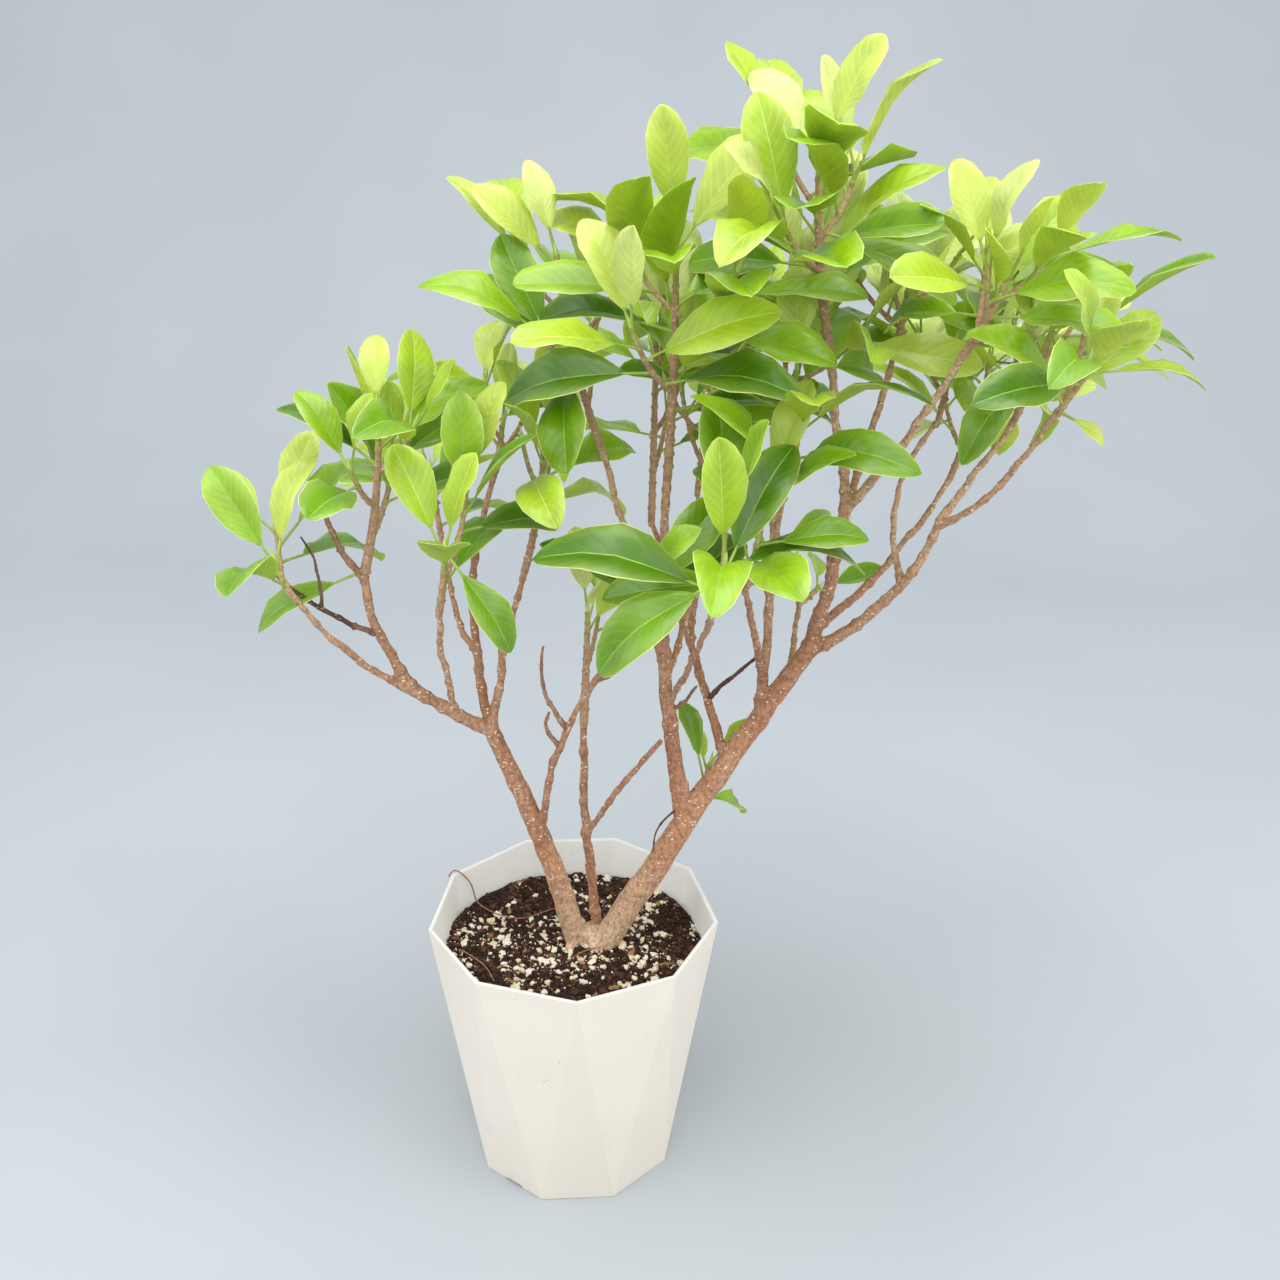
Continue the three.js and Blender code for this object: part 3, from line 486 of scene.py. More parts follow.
@dataclass
class Leaf:
    """A leaf: a stalk from its root on the shoot, and a blade folded along its rib that droops."""

    root: Vec
    base: Vec
    along: Vec
    face: Vec
    axis: Vec
    length: float
    width: float
    drop: float
    fold: float
    age: int
    sunk: float
    shoot: int = 0

    def __post_init__(self) -> None:
        """Work out the side, the middle and the reach."""
        self.side = np.cross(self.face, self.along)
        self.middle = self.point(0.5, 0)
        self.reach = LEAF.reach_share * self.length

    def point(self, share: float, across: float, lift: float = 0) -> Vec:
        """Point of the blade.

        Args:
            share: Share of its length.
            across: Share of its half width, to the left below zero.
            lift: Height over the blade.

        Returns:
            The point.
        """
        normal = unit(self.face + self.along * (2 * self.drop * share))
        centre = self.base + self.along * (self.length * share)
        centre = centre - self.face * (self.length * self.drop * share * share)
        reach = across * half_breadth(self.width, share, LEAF.outline)
        return centre + self.side * (reach * math.cos(self.fold)) + normal * (
            abs(reach) * math.sin(self.fold) + lift)

    def fan(self, lift: float, grow: float) -> tuple[Vec, Vec, Vec]:
        """The blade as six triangles round its middle.

        Args:
            lift: Height over the blade.
            grow: Times its own size.

        Returns:
            The outline, the triangles and the edges.
        """
        ring = np.array([self.point(share, across * grow, lift) for share, across in OUTLINE])
        ring[OUTLINE_TIP] += self.along * (self.length * (grow - 1))
        centre = np.repeat(self.point(0.5, 0, lift)[None], len(ring), axis=0)
        following = np.roll(ring, -1, axis=0)
        triangles = np.stack([centre, ring, following], axis=1)
        edges = np.concatenate([np.stack([ring, following], axis=1), np.stack([centre, ring], axis=1)])
        return ring, triangles, edges

    def slab(self) -> tuple[Vec, Vec]:
        """The blade with its clearance all round.

        Returns:
            Triangles and edges.
        """
        top, upper, upper_edges = self.fan(CLEARANCE, LEAF.grown)
        low, lower, lower_edges = self.fan(-CLEARANCE, LEAF.grown)
        following_top, following_low = np.roll(top, -1, axis=0), np.roll(low, -1, axis=0)
        first = np.stack([top, low, following_top], axis=1)
        second = np.stack([following_top, low, following_low], axis=1)
        return np.concatenate([upper, lower, first, second]), np.concatenate([upper_edges, lower_edges])


def attached(limb: Limb, share: float, along: Vec, roll: float, stalk: float, **sizes: Any) -> Leaf:
    """A leaf on a limb, with its face to the light and to the limb's tip.

    Args:
        limb: The limb.
        share: Share of the limb's length.
        along: Direction of stalk and blade.
        roll: Turn of the face about that direction, in degrees.
        stalk: Length of the stalk.
        sizes: The leaf's other sizes.

    Returns:
        The leaf.
    """
    root, axis, sunk = limb.point(share), limb.tangent(share), limb.radius(share)
    flat = LIGHT * LEAF.light_share + axis * (1 - LEAF.light_share)
    flat = unit(flat - along * (flat @ along))
    turn = math.radians(roll)
    face = flat * math.cos(turn) + np.cross(along, flat) * math.sin(turn)
    return Leaf(root, root + along * (stalk + sunk), along, face, axis, sunk=sunk, **sizes)


class Crown:
    """Everything grown so far, which new growth keeps clear of."""

    def __init__(self) -> None:
        """Begin with nothing."""
        self.starts = np.zeros((0, 3))
        self.ends = np.zeros((0, 3))
        self.radii = np.zeros(0)
        self.owners: list[str] = []
        self.leaves: list[Leaf] = []
        self.triangles: list[Vec] = []
        self.edges: list[Vec] = []

    def add_line(self, path: Vec, radii: Sequence[float], owner: str) -> None:
        """Keep later growth clear of a line.

        Args:
            path: Points along it, one a row.
            radii: Radius at each point.
            owner: Name of what it belongs to.
        """
        self.starts = np.vstack([self.starts, path[:-1]])
        self.ends = np.vstack([self.ends, path[1:]])
        self.radii = np.append(self.radii, np.maximum(radii[:-1], radii[1:]))
        self.owners += [owner] * (len(path) - 1)

    def add_limb(self, limb: Limb, owner: str) -> None:
        """Keep later growth clear of a limb."""
        self.add_line(limb.path(), [limb.radius(i / LINE_STEPS) for i in range(LINE_STEPS + 1)], owner)

    def add_leaf(self, leaf: Leaf, owner: str) -> None:
        """Keep later growth clear of a leaf and its stalk.

        Args:
            leaf: The leaf.
            owner: Name of what it belongs to.
        """
        _, triangles, edges = leaf.fan(0, 1)
        self.leaves.append(leaf)
        self.triangles.append(triangles)
        self.edges.append(edges)
        stalk = np.array([leaf.root + leaf.along * leaf.sunk, leaf.base])
        self.add_line(stalk, [LEAF.stalk_test_radius] * 2, owner)

    def points_free(self, points: Vec, radius: float, room: float, owner: str) -> bool:
        """Whether points keep their room from every line but one owner's.

        Args:
            points: Points, one a row.
            radius: Radius of each.
            room: Room to keep.
            owner: Name whose lines don't count.

        Returns:
            True where they do.
        """
        others = np.array([name != owner for name in self.owners])
        distance = gaps(points, self.starts[others], self.ends[others])
        return not np.any(distance < self.radii[others][None] + radius + room)

    def near(self, middle: Vec, reach: float) -> list[int]:
        """Numbers of the leaves that a reach round a point can touch."""
        return [number for number, leaf in enumerate(self.leaves)
                if np.linalg.norm(leaf.middle - middle) < reach + leaf.reach]

    def twig_free(self, twig: Limb) -> bool:
        """Whether a twig passes through no leaf.

        Args:
            twig: The twig to try.

        Returns:
            True where it does.
        """
        path = twig.path()
        near = self.near(twig.point(0.5), twig.length)
        edges = np.stack([path[:-1], path[1:]], axis=1)
        return not near or not crosses(edges, np.concatenate([self.triangles[i] for i in near]))

    def leaf_free(self, leaf: Leaf) -> bool:
        """Whether a leaf touches no limb, twig or stalk and no other leaf.

        Args:
            leaf: The leaf to try.

        Returns:
            True where it stands clear.
        """
        triangles, edges = leaf.slab()
        reach = leaf.reach + LINE_MARGIN
        close = gaps(leaf.middle[None], self.starts, self.ends)[0] < reach + self.radii
        starts, ends, radii = self.starts[close], self.ends[close], self.radii[close]
        if len(starts) and crosses(np.stack([starts, ends], axis=1), triangles):
            return False
        points = [leaf.point(share, across) for share in LEAF.test_shares for across in (-1, 0, 1)]
        points.append(leaf.point(1, 0))
        if len(starts) and np.any(gaps(np.array(points), starts, ends) < radii[None] + CLEARANCE):
            return False
        near = self.near(leaf.middle, leaf.reach)
        if not near:
            return True
        others = np.concatenate([self.triangles[i] for i in near])
        other_edges = np.concatenate([self.edges[i] for i in near])
        return not crosses(edges, others) and not crosses(other_edges, triangles)


class Plant:
    """The grown plant: its limbs, and the shoots and leaves of each mass."""

    def __init__(self) -> None:
        """Grow the limbs, then every mass in order, with every stem known before the first leaf."""
        self.limbs: dict[str, Limb] = {}
        self.bare: dict[str, Limb] = {}
        self.shoots: list[Limb] = []
        self.age_and_shade: list[float] = []
        self.leaves: list[Leaf] = []
        self.crown = Crown()
        self.grow_limbs()
        stems = {mass.name: self.mass_stem(mass) for mass in MASSES}
        for name, stem in stems.items():
            self.crown.add_limb(stem, f"{name}/0")
        first: dict[str, int] = {}
        for mass in MASSES:
            chance = Chance(mass.seed)
            first[mass.name] = len(self.shoots)
            shoots = self.grow_twigs(stems[mass.name], mass, chance)
            self.grow_leaves(shoots, mass, chance)
            self.shoots += shoots
            self.age_and_shade += [mass.age_and_shade] * len(shoots)
        for lone in LONE_LEAVES:
            self.set_leaf(lone, first[lone.mass] + lone.twig)

    def grow_limbs(self) -> None:
        """Lay out stems, boughs and bare twigs, each from its parent."""
        for size in (*STEMS, *BOUGHS, *BARE_TWIGS):
            known = {**self.limbs, **self.bare}
            foot = np.array([*size.foot, FOOT_LEVEL], dtype=float)
            start = known[size.parent].point(size.at) if size.parent else foot
            limb = Limb(start, size.length, size.bearing, size.rise, size.sag, size.sway, size.radii)
            if size in BARE_TWIGS:
                self.bare[size.name] = limb
            else:
                self.limbs[size.name] = limb
                self.crown.add_limb(limb, size.name)

    def set_leaf(self, lone: LoneLeaf, number: int) -> None:
        """Set a leaf that stands out from its mass.

        Args:
            lone: Place and sizes of the leaf.
            number: Number of its shoot.
        """
        along = heading(lone.bearing, lone.rise)
        leaf = attached(self.shoots[number], lone.at, along, lone.roll, lone.stalk, length=lone.length,
                        width=lone.breadth * lone.length, drop=lone.drop, fold=math.radians(LEAF.fold),
                        age=lone.age, shoot=number)
        self.leaves.append(leaf)

    def mass_stem(self, mass: MassSize) -> Limb:
        """Stem of a mass.

        Args:
            mass: Sizes of the mass.

        Returns:
            The stem, on from a bough's tip or out of the side of a stem.
        """
        parent = self.limbs[mass.parent]
        start, radius = parent.tip + parent.tangent(1) * GAP, parent.radii[1]
        if mass.at is not None:
            start, radius = parent.point(mass.at), TWIG.sprout_radius
        sag = TWIG.stem_sag_share * mass.length
        return Limb(start, mass.length, mass.bearing, mass.rise, sag, 0, (radius, TWIG.stem_tip_radius))

    def grow_twigs(self, stem: Limb, mass: MassSize, chance: Chance) -> list[Limb]:
        """Side twigs of a mass, turned round the stem by the golden angle and curving up.

        Args:
            stem: Stem of the mass.
            mass: Sizes of the mass.
            chance: The mass's chance.

        Returns:
            The stem and its twigs.
        """
        shoots = [stem]
        first = 360 * chance.share()
        for k in range(mass.twigs):
            share = TWIG.first_share + TWIG.span_share * (k + 0.5) / mass.twigs
            length = mass.twig * chance.around(1, TWIG.length_spread)
            length *= TWIG.lowest_length - TWIG.shortening * share
            lean = chance.around(TWIG.lean, TWIG.lean_spread)
            turn = first + k * GOLDEN_TURN + chance.around(0, TWIG.turn_spread)
            for attempt in range(TRIES):
                away = tilt(stem.tangent(share), turn + TWIG.retry_turn * attempt, lean)
                away = unit(away + UP * TWIG.lift)
                bearing = math.degrees(math.atan2(away[1], away[0]))
                rise = math.degrees(math.asin(away[2]))
                radii = (TWIG.radius_share * stem.radius(share), TWIG.tip_radius)
                twig = Limb(stem.point(share), length, bearing, rise, TWIG.sag_share * length, 0, radii)
                points = np.array([twig.point(at) for at in TWIG.test_shares])
                room = self.crown.points_free(points, TWIG.test_radius, TWIG.room, "")
                if room and self.crown.twig_free(twig):
                    self.crown.add_limb(twig, f"{mass.name}/{len(shoots)}")
                    shoots.append(twig)
                    break
        return shoots

    def grow_leaves(self, shoots: list[Limb], mass: MassSize, chance: Chance) -> None:
        """Leaves of a mass, from each shoot's tip downward; one that has no room is left out.

        Args:
            shoots: The mass's stem and twigs.
            mass: Sizes of the mass.
            chance: The mass's chance.
        """
        spine = shoots[0].path()
        for index, shoot in enumerate(shoots):
            first = 360 * chance.share()
            for age in range(mass.leaves):
                back = LEAF.first_back + LEAF.step * age + LEAF.step_gain * age * age
                if back > LEAF.leafy_share * shoot.length:
                    break
                grown = min(1, LEAF.young_share + LEAF.gain * age)
                length = mass.leaf * grown * chance.around(1, LEAF.length_spread)
                width = length * chance.around(LEAF.width_share, LEAF.width_spread)
                stalk = chance.around(LEAF.stalk, LEAF.stalk_spread)
                drop = LEAF.drop + LEAF.drop_gain * age + chance.around(0, LEAF.drop_spread)
                fold = math.radians(chance.around(LEAF.fold, LEAF.fold_spread))
                roll = chance.around(0, LEAF.roll_spread)
                opened = min(LEAF.widest_opening, LEAF.opening + LEAF.opening_gain * age)
                spread = opened + chance.around(0, LEAF.opening_spread)
                turn = first + age * GOLDEN_TURN + chance.around(0, LEAF.turn_spread)
                share = 1 - back / shoot.length
                owner = f"{mass.name}/{index}"
                for attempt in range(TRIES):
                    turned = turn + LEAF.retry_turn * attempt
                    opened = spread - LEAF.retry_closing * attempt
                    along = unit(tilt(shoot.tangent(share), turned, opened) + UP * LEAF.lift)
                    leaf = attached(shoot, share, along, roll, stalk, length=length, width=width, drop=drop,
                                    fold=fold, age=age, shoot=len(self.shoots) + index)
                    inside = gaps(leaf.point(1, 0)[None], spine[:-1], spine[1:]).min() <= SPACE
                    places = [leaf.root + along * (leaf.sunk + stalk * at) for at in LEAF.stalk_tests]
                    room = LEAF.stalk_test_radius
                    clear = inside and self.crown.points_free(np.array(places), room, room, owner)
                    if clear and self.crown.leaf_free(leaf):
                        self.crown.add_leaf(leaf, owner)
                        self.leaves.append(leaf)
                        break


def tone(red: int, green: int, blue: int) -> Colour:
    """Linear colour of a screen colour.

    Args:
        red: Red part, from 0 to 255.
        green: Green part.
        blue: Blue part.

    Returns:
        The colour.
    """
    parts = [part / SCREEN_STEPS for part in (red, green, blue)]
    bright = [((part + CURVE_LIFT) / (1 + CURVE_LIFT)) ** CURVE_POWER for part in parts]
    linear = [part / DARK_SLOPE if part <= DARK_END else full for part, full in zip(parts, bright)]
    return (linear[0], linear[1], linear[2], 1.0)


def scaled(colour: Colour, times: float) -> Colour:
    """A colour made darker or lighter."""
    return (*[min(1, part * times) for part in colour[:3]], 1.0)


@dataclass(frozen=True)
class Clouds:
    """Soft noise: clouds to the metre, finer layers, the band of values that counts, and a stretch."""

    scale: float
    detail: float = 2
    band: Pair = (0.35, 0.65)
    stretch: Point | None = None


class NodeSheet:
    """Nodes of one material, wired to its surface shader."""

    def __init__(self, name: str) -> None:
        """Start a material.

        Args:
            name: Its name.
        """
        self.material = bpy.data.materials.new(name)
        self.material.use_nodes = True
        self.tree = self.material.node_tree
        self.shader = self.tree.nodes["Principled BSDF"]

    def feed(self, node: bpy.types.Node, inputs: dict[Any, Any]) -> None:
        """Wire a node's sockets to others, or set them where plain values are given.

        Args:
            node: The node.
            inputs: What goes into each socket, by the socket's name or number.
        """
        for key, value in inputs.items():
            if isinstance(value, Socket):
                self.tree.links.new(value, node.inputs[key])
            else:
                node.inputs[key].default_value = value

    def add(self, kind: str, inputs: dict[Any, Any], **settings: Any) -> bpy.types.Node:
        """Add a node.

        Args:
            kind: Its type.
            inputs: What goes into its sockets.
            settings: Its own properties.

        Returns:
            The node.
        """
        node = self.tree.nodes.new(kind)
        for key, value in settings.items():
            setattr(node, key, value)
        self.feed(node, inputs)
        return node

    def place(self, stretch: Point | None = None) -> Socket:
        """Coordinates of the object.

        Args:
            stretch: Scale along each axis, if any.

        Returns:
            The coordinates.
        """
        place = self.add("ShaderNodeTexCoord", {}).outputs["Object"]
        if stretch is None:
            return place
        return self.add("ShaderNodeMapping", {"Vector": place, "Scale": stretch}).outputs["Vector"]

    def clouds(self, clouds: Clouds) -> Socket:
        """Soft noise from 0 to 1."""
        inputs = {"Vector": self.place(clouds.stretch), "Scale": clouds.scale, "Detail": clouds.detail}
        return self.add("ShaderNodeTexNoise", inputs).outputs["Fac"]

    def spots(self, scale: float, stretch: Point | None = None) -> Socket:
        """Distance to the nearest of scattered points, in cells; the scale counts cells to the metre."""
        inputs = {"Vector": self.place(stretch), "Scale": scale}
        return self.add("ShaderNodeTexVoronoi", inputs).outputs["Distance"]

    def age(self) -> Socket:
        """Age of the wood, from 0 at the root flare to 1 at a green tip."""
        return self.add("ShaderNodeAttribute", {}, attribute_name=AGE).outputs["Fac"]

    def ramp(self, value: Socket, stops: Sequence[tuple[float, Colour]]) -> Socket:
        """Colours along a value.

        Args:
            value: The value.
            stops: Places and their colours.

        Returns:
            The colour.
        """
        node = self.add("ShaderNodeValToRGB", {"Fac": value})
        elements = node.color_ramp.elements
        while len(elements) < len(stops):
            elements.new(0.5)
        for element, (place, colour) in zip(elements, stops):
            element.position = place
            element.color = colour
        return node.outputs["Color"]

    def level(self, value: Socket, band: Pair, first: float = 0, last: float = 1) -> Socket:
        """A value spread from one range to another, held at the ends.

        Args:
            value: The value.
            band: Start and end of its range.
            first: Result at the start.
            last: Result at the end.

        Returns:
            The spread value.
        """
        low, high = band
        inputs = {"Value": value, "From Min": low, "From Max": high, "To Min": first, "To Max": last}
        return self.add("ShaderNodeMapRange", inputs).outputs["Result"]

    def patches(self, clouds: Clouds, first: float = 0, last: float = 1) -> Socket:
        """Soft noise with its band spread from one value to another."""
        return self.level(self.clouds(clouds), clouds.band, first, last)

    def sum(self, operation: str, first: Socket | float, second: Socket | float = 0.0) -> Socket:
        """Result of a plain sum of two values."""
        return self.add("ShaderNodeMath", {0: first, 1: second}, operation=operation).outputs["Value"]

    def mix(self, share: Socket, first: Socket | Colour, second: Socket | Colour) -> Socket:
        """Blend of two colours by the share of the second."""
        inputs = {"Factor": share, MIX_FIRST: first, MIX_SECOND: second}
        return self.add("ShaderNodeMix", inputs, data_type="RGBA").outputs[MIX_RESULT]

    def relief(self, height: Socket, strength: float, depth: float) -> None:
        """Raise the surface by a height.

        Args:
            height: Height from 0 to 1.
            strength: How strongly it shows.
            depth: Depth of the relief in millimetres.
        """
        inputs = {"Height": height, "Strength": strength, "Distance": depth * MM}
        bump = self.add("ShaderNodeBump", inputs)
        self.feed(self.shader, {"Normal": bump.outputs["Normal"]})

    def glow(self, share: float, tint: Point, depth: float) -> None:
        """Let light soak into the surface.

        Args:
            share: Share of the light.
            tint: How far red, green and blue go.
            depth: Depth in millimetres.
        """
        inputs = {"Subsurface Weight": share, "Subsurface Radius": tint, "Subsurface Scale": depth * MM}
        self.feed(self.shader, inputs)

    def surface(self, colour: Socket, roughness: Socket | float, specular: float) -> bpy.types.Material:
        """Wire colour and gloss to the shader, and hand over the material."""
        self.feed(self.shader, {"Base Color": colour, "Roughness": roughness, "Specular IOR Level": specular})
        return self.material


@dataclass(frozen=True)
class PotFinish:
    """Matt ivory plastic with faint clouds and a few splashes of earth."""

    name: str = "ivory_plastic"
    light: Colour = tone(244, 236, 224)
    shaded: Colour = tone(238, 229, 216)
    earth: Colour = tone(150, 120, 92)
    glow: float = 0
    glow_tint: Point = (1.0, 0.97, 0.93)
    glow_depth: float = 8
    clouds: Clouds = Clouds(9, 4)
    splashes: Clouds = Clouds(38, band=(0.55, 0.72))
    speck_cells: float = 240
    speck_band: Pair = (0.10, 0.17)
    earth_share: float = 0.55
    grain: Clouds = Clouds(900)
    grain_strength: float = 0.06
    grain_depth: float = 0.2
    gloss_band: Pair = (0.3, 0.7)
    roughness: Pair = (0.42, 0.55)
    specular: float = 0.4

    def material(self) -> bpy.types.Material:
        """Make the material.

        Returns:
            The material.
        """
        sheet = NodeSheet(self.name)
        clouds = sheet.clouds(self.clouds)
        body = sheet.mix(sheet.level(clouds, self.clouds.band), self.light, self.shaded)
        specks = sheet.level(sheet.spots(self.speck_cells), self.speck_band, 1, 0)
        splashed = sheet.sum("MULTIPLY", sheet.patches(self.splashes), specks)
        colour = sheet.mix(sheet.sum("MULTIPLY", splashed, self.earth_share), body, self.earth)
        sheet.relief(sheet.clouds(self.grain), self.grain_strength, self.grain_depth)
        sheet.glow(self.glow, self.glow_tint, self.glow_depth)
        return sheet.surface(colour, sheet.level(clouds, self.gloss_band, *self.roughness), self.specular)


@dataclass(frozen=True)
class GrainFinish:
    """Earth, crumbs, grit, chips or roots: two tones in clouds over a rough face."""

    name: str
    first: Colour
    second: Colour
    scale: float = 400
    depth: float = 0.4
    roughness: float = 0.9
    specular: float = 0.25
    band: Pair = (0.38, 0.62)
    detail: float = 3
    relief_scale: float = 2.5
    relief: float = 0.7

    def material(self) -> bpy.types.Material:
        """Make the material.

        Returns:
            The material.
        """
        sheet = NodeSheet(self.name)
        patches = sheet.patches(Clouds(self.scale, self.detail, self.band))
        fine = sheet.clouds(Clouds(self.scale * self.relief_scale, self.detail))
        sheet.relief(fine, self.relief, self.depth)
        return sheet.surface(sheet.mix(patches, self.first, self.second), self.roughness, self.specular)


@dataclass(frozen=True)
class BarkFinish:
    """Smooth bark whose colour follows the age of the wood, with streaks, rings, grain and pale pores."""

    name: str
    stops: tuple[tuple[float, Colour], ...]
    pore: Colour = tone(242, 222, 194)
    dust: Colour = tone(210, 174, 142)
    groove: Colour = tone(106, 62, 42)
    streaks: Clouds = Clouds(60, 4, (0.45, 0.7), (1, 1, 0.35))
    rings: Clouds = Clouds(190, 4, (0.5, 0.74), (0.5, 0.5, 3))
    grain: Clouds = Clouds(520, 4, (0.42, 0.66), (1, 1, 0.6))
    streak_share: float = 0.55
    ring_share: float = 0.42
    grain_share: float = 0.5
    pore_cells: float = 300
    pore_stretch: Point = (1, 1, 1.5)
    pore_unevenness: Clouds = Clouds(160)
    pore_spread: float = 0.09
    pore_band: Pair = (0.14, 0.24)
    pore_share: float = 0.95
    ring_height: float = 0.5
    pore_height: float = 0.5
    grain_height: float = 1.2
    relief: float = 0.8
    depth: float = 0.5
    roughness: float = 0.68
    specular: float = 0.35

    def material(self) -> bpy.types.Material:
        """Make the material.

        Returns:
            The material.
        """
        sheet = NodeSheet(self.name)
        colour = sheet.ramp(sheet.age(), self.stops)
        streaks, rings, grain = [sheet.clouds(each) for each in (self.streaks, self.rings, self.grain)]
        for value, band, share, tint in ((streaks, self.streaks.band, self.streak_share, self.dust),
                                         (rings, self.rings.band, self.ring_share, self.groove),
                                         (grain, self.grain.band, self.grain_share, self.groove)):
            colour = sheet.mix(sheet.level(value, band, 0, share), colour, tint)
        distance = sheet.spots(self.pore_cells, self.pore_stretch)
        uneven = sheet.patches(self.pore_unevenness, -self.pore_spread, self.pore_spread)
        pores = sheet.level(sheet.sum("ADD", distance, uneven), self.pore_band, self.pore_share, 0)
        raised = [sheet.sum("MULTIPLY", value, height) for value, height in
                  ((rings, self.ring_height), (pores, self.pore_height), (grain, self.grain_height))]
        height = sheet.sum("SUBTRACT", sheet.sum("ADD", raised[0], raised[1]), raised[2])
        sheet.relief(height, self.relief, self.depth)
        return sheet.surface(sheet.mix(pores, colour, self.pore), self.roughness, self.specular)


@dataclass(frozen=True)
class LeafFinish:
    """Waxy leaf skin: one tone with faint clouds, and side veins pressed into it."""

    name: str
    colour: Colour
    roughness: float = 0.3
    coat: float = 0.45
    coat_roughness: float = 0.25
    margin: Colour = tone(206, 224, 112)
    margin_band: Pair = (0.2, 0.5)
    margin_share: float = 0.2
    mottle: Clouds = Clouds(55, band=(0.3, 0.7))
    mottle_tones: Pair = (0.8, 1.12)
    vein_tone: float = 1.3
    vein_turns: float = 56
    vein_slant: float = 34
    vein_band: Pair = (0.55, 1)
    vein_share: float = 0.3
    vein_height: float = 0.5
    relief: float = 0.25
    depth: float = 0.35
    glow: float = 0.35
    glow_tint: Point = (0.7, 1.0, 0.2)
    glow_depth: float = 1.5
    gloss: Clouds = Clouds(90, band=(0.3, 0.7))
    gloss_spread: float = 0.1
    specular: float = 0.4

    def material(self) -> bpy.types.Material:
        """Make the material.

        Returns:
            The material.
        """
        sheet = NodeSheet(self.name)
        dark, light = [scaled(self.colour, times) for times in self.mottle_tones]
        mottled = sheet.mix(sheet.patches(self.mottle), dark, light)
        blade = sheet.add("ShaderNodeUVMap", {}, uv_map=BLADE_MAP).outputs["UV"]
        split = sheet.add("ShaderNodeSeparateXYZ", {"Vector": blade})
        out = sheet.sum("ABSOLUTE", sheet.sum("SUBTRACT", split.outputs["Y"], 0.5))
        along = sheet.sum("MULTIPLY", split.outputs["X"], self.vein_turns)
        slant = sheet.sum("MULTIPLY", out, self.vein_slant)
        veins = sheet.sum("SINE", sheet.sum("SUBTRACT", along, slant))
        shown = sheet.level(veins, self.vein_band, 0, self.vein_share)
        veined = sheet.mix(shown, mottled, scaled(self.colour, self.vein_tone))
        colour = sheet.mix(sheet.level(out, self.margin_band, 0, self.margin_share), veined, self.margin)
        sheet.relief(sheet.sum("MULTIPLY", veins, self.vein_height), self.relief, self.depth)
        sheet.feed(sheet.shader, {"Coat Weight": self.coat, "Coat Roughness": self.coat_roughness})
        sheet.glow(self.glow, self.glow_tint, self.glow_depth)
        gloss = sheet.patches(self.gloss, self.roughness, self.roughness + self.gloss_spread)
        return sheet.surface(colour, gloss, self.specular)


@dataclass(frozen=True)
class ShootFinish:
    """Green skin of stalks and buds."""

    name: str
    first: Colour
    second: Colour
    clouds: Clouds = Clouds(120)
    grain: Clouds = Clouds(700)
    relief: float = 0.25
    depth: float = 0.2
    roughness: float = 0.42
    specular: float = 0.5

    def material(self) -> bpy.types.Material:
        """Make the material.

        Returns:
            The material.
        """
        sheet = NodeSheet(self.name)
        colour = sheet.mix(sheet.patches(self.clouds), self.first, self.second)
        sheet.relief(sheet.clouds(self.grain), self.relief, self.depth)
        return sheet.surface(colour, self.roughness, self.specular)


class LeafTone(Enum):
    """Tones dealt out to whole leaves, from the youngest to the oldest; the darker ones also go to low and
    inner masses as painted shade.
    """

    BUD = (208, 221, 130)
    LIME = (191, 210, 88)
    FRESH = (168, 199, 44)
    GREEN = (139, 181, 18)
    DEEP = (108, 155, 8)
    DARK = (76, 124, 4)


class UnderToneWithPaintedLight(Enum):
    """Tones of the undersides, from the youngest leaf to the oldest: their own pale colour, made brighter and
    yellower as painted light that stands in for light shining through the leaf.
    """

    PALE = (210, 222, 96)
    MIDDLE = (188, 209, 56)
    DULL = (164, 193, 30)


class LineTone(Enum):
    """Tones of the ribs of young and old leaves, and of the margins."""

    RIB_PALE = (204, 222, 112)
    RIB_GREEN = (148, 190, 72)
    LEAF_MARGIN = (216, 228, 140)


class BladePart(Enum):
    """Parts of a blade that have a finish of their own."""

    TOP = "top"
    UNDER = "under"
    RIB = "rib"
    MARGIN = "margin"


class Earth(Enum):
    """Finishes of what lies in the pot."""

    BLACK = GrainFinish("black_earth", tone(38, 25, 21), tone(68, 46, 38), 600, 0.6)
    BROWN = GrainFinish("brown_crumb", tone(62, 41, 33), tone(92, 64, 51), 700, 0.5)
    RED = GrainFinish("red_crumb", tone(78, 49, 40), tone(112, 76, 60), 700, 0.5)
    WHITE = GrainFinish("white_grit", tone(250, 246, 232), tone(236, 226, 202), 900, 0.3, 0.85)
    CREAM = GrainFinish("cream_grit", tone(240, 228, 202), tone(216, 198, 164), 800, 0.3, 0.85)
    CHIP = GrainFinish("bark_chip", tone(146, 106, 74), tone(102, 70, 48), 300, 0.5)
    HUSK = GrainFinish("pale_chip", tone(182, 146, 106), tone(138, 102, 70), 300, 0.5)
    ROOT = GrainFinish("thin_root", tone(176, 132, 104), tone(140, 98, 76), 300, 0.2, 0.7)


@dataclass
class Tube:
    """A round tube along points, with a radius at each, in millimetres."""

    points: Vec
    radii: Vec


def linked(name: str, data: bpy.types.ID) -> bpy.types.Object:
    """A new object in the scene.

    Args:
        name: Its name.
        data: Its mesh, curve, light or camera.

    Returns:
        The object.
    """
    holder = bpy.data.objects.new(name, data)
    bpy.context.collection.objects.link(holder)
    return holder


def worked_out(holder: bpy.types.Object) -> bpy.types.Mesh:
    """Mesh of an object with its curve or modifiers worked out, after which the object goes.

    Args:
        holder: The object.

    Returns:
        The mesh.
    """
    graph = bpy.context.evaluated_depsgraph_get()
    mesh = bpy.data.meshes.new_from_object(holder.evaluated_get(graph))
    bpy.data.objects.remove(holder)
    return mesh


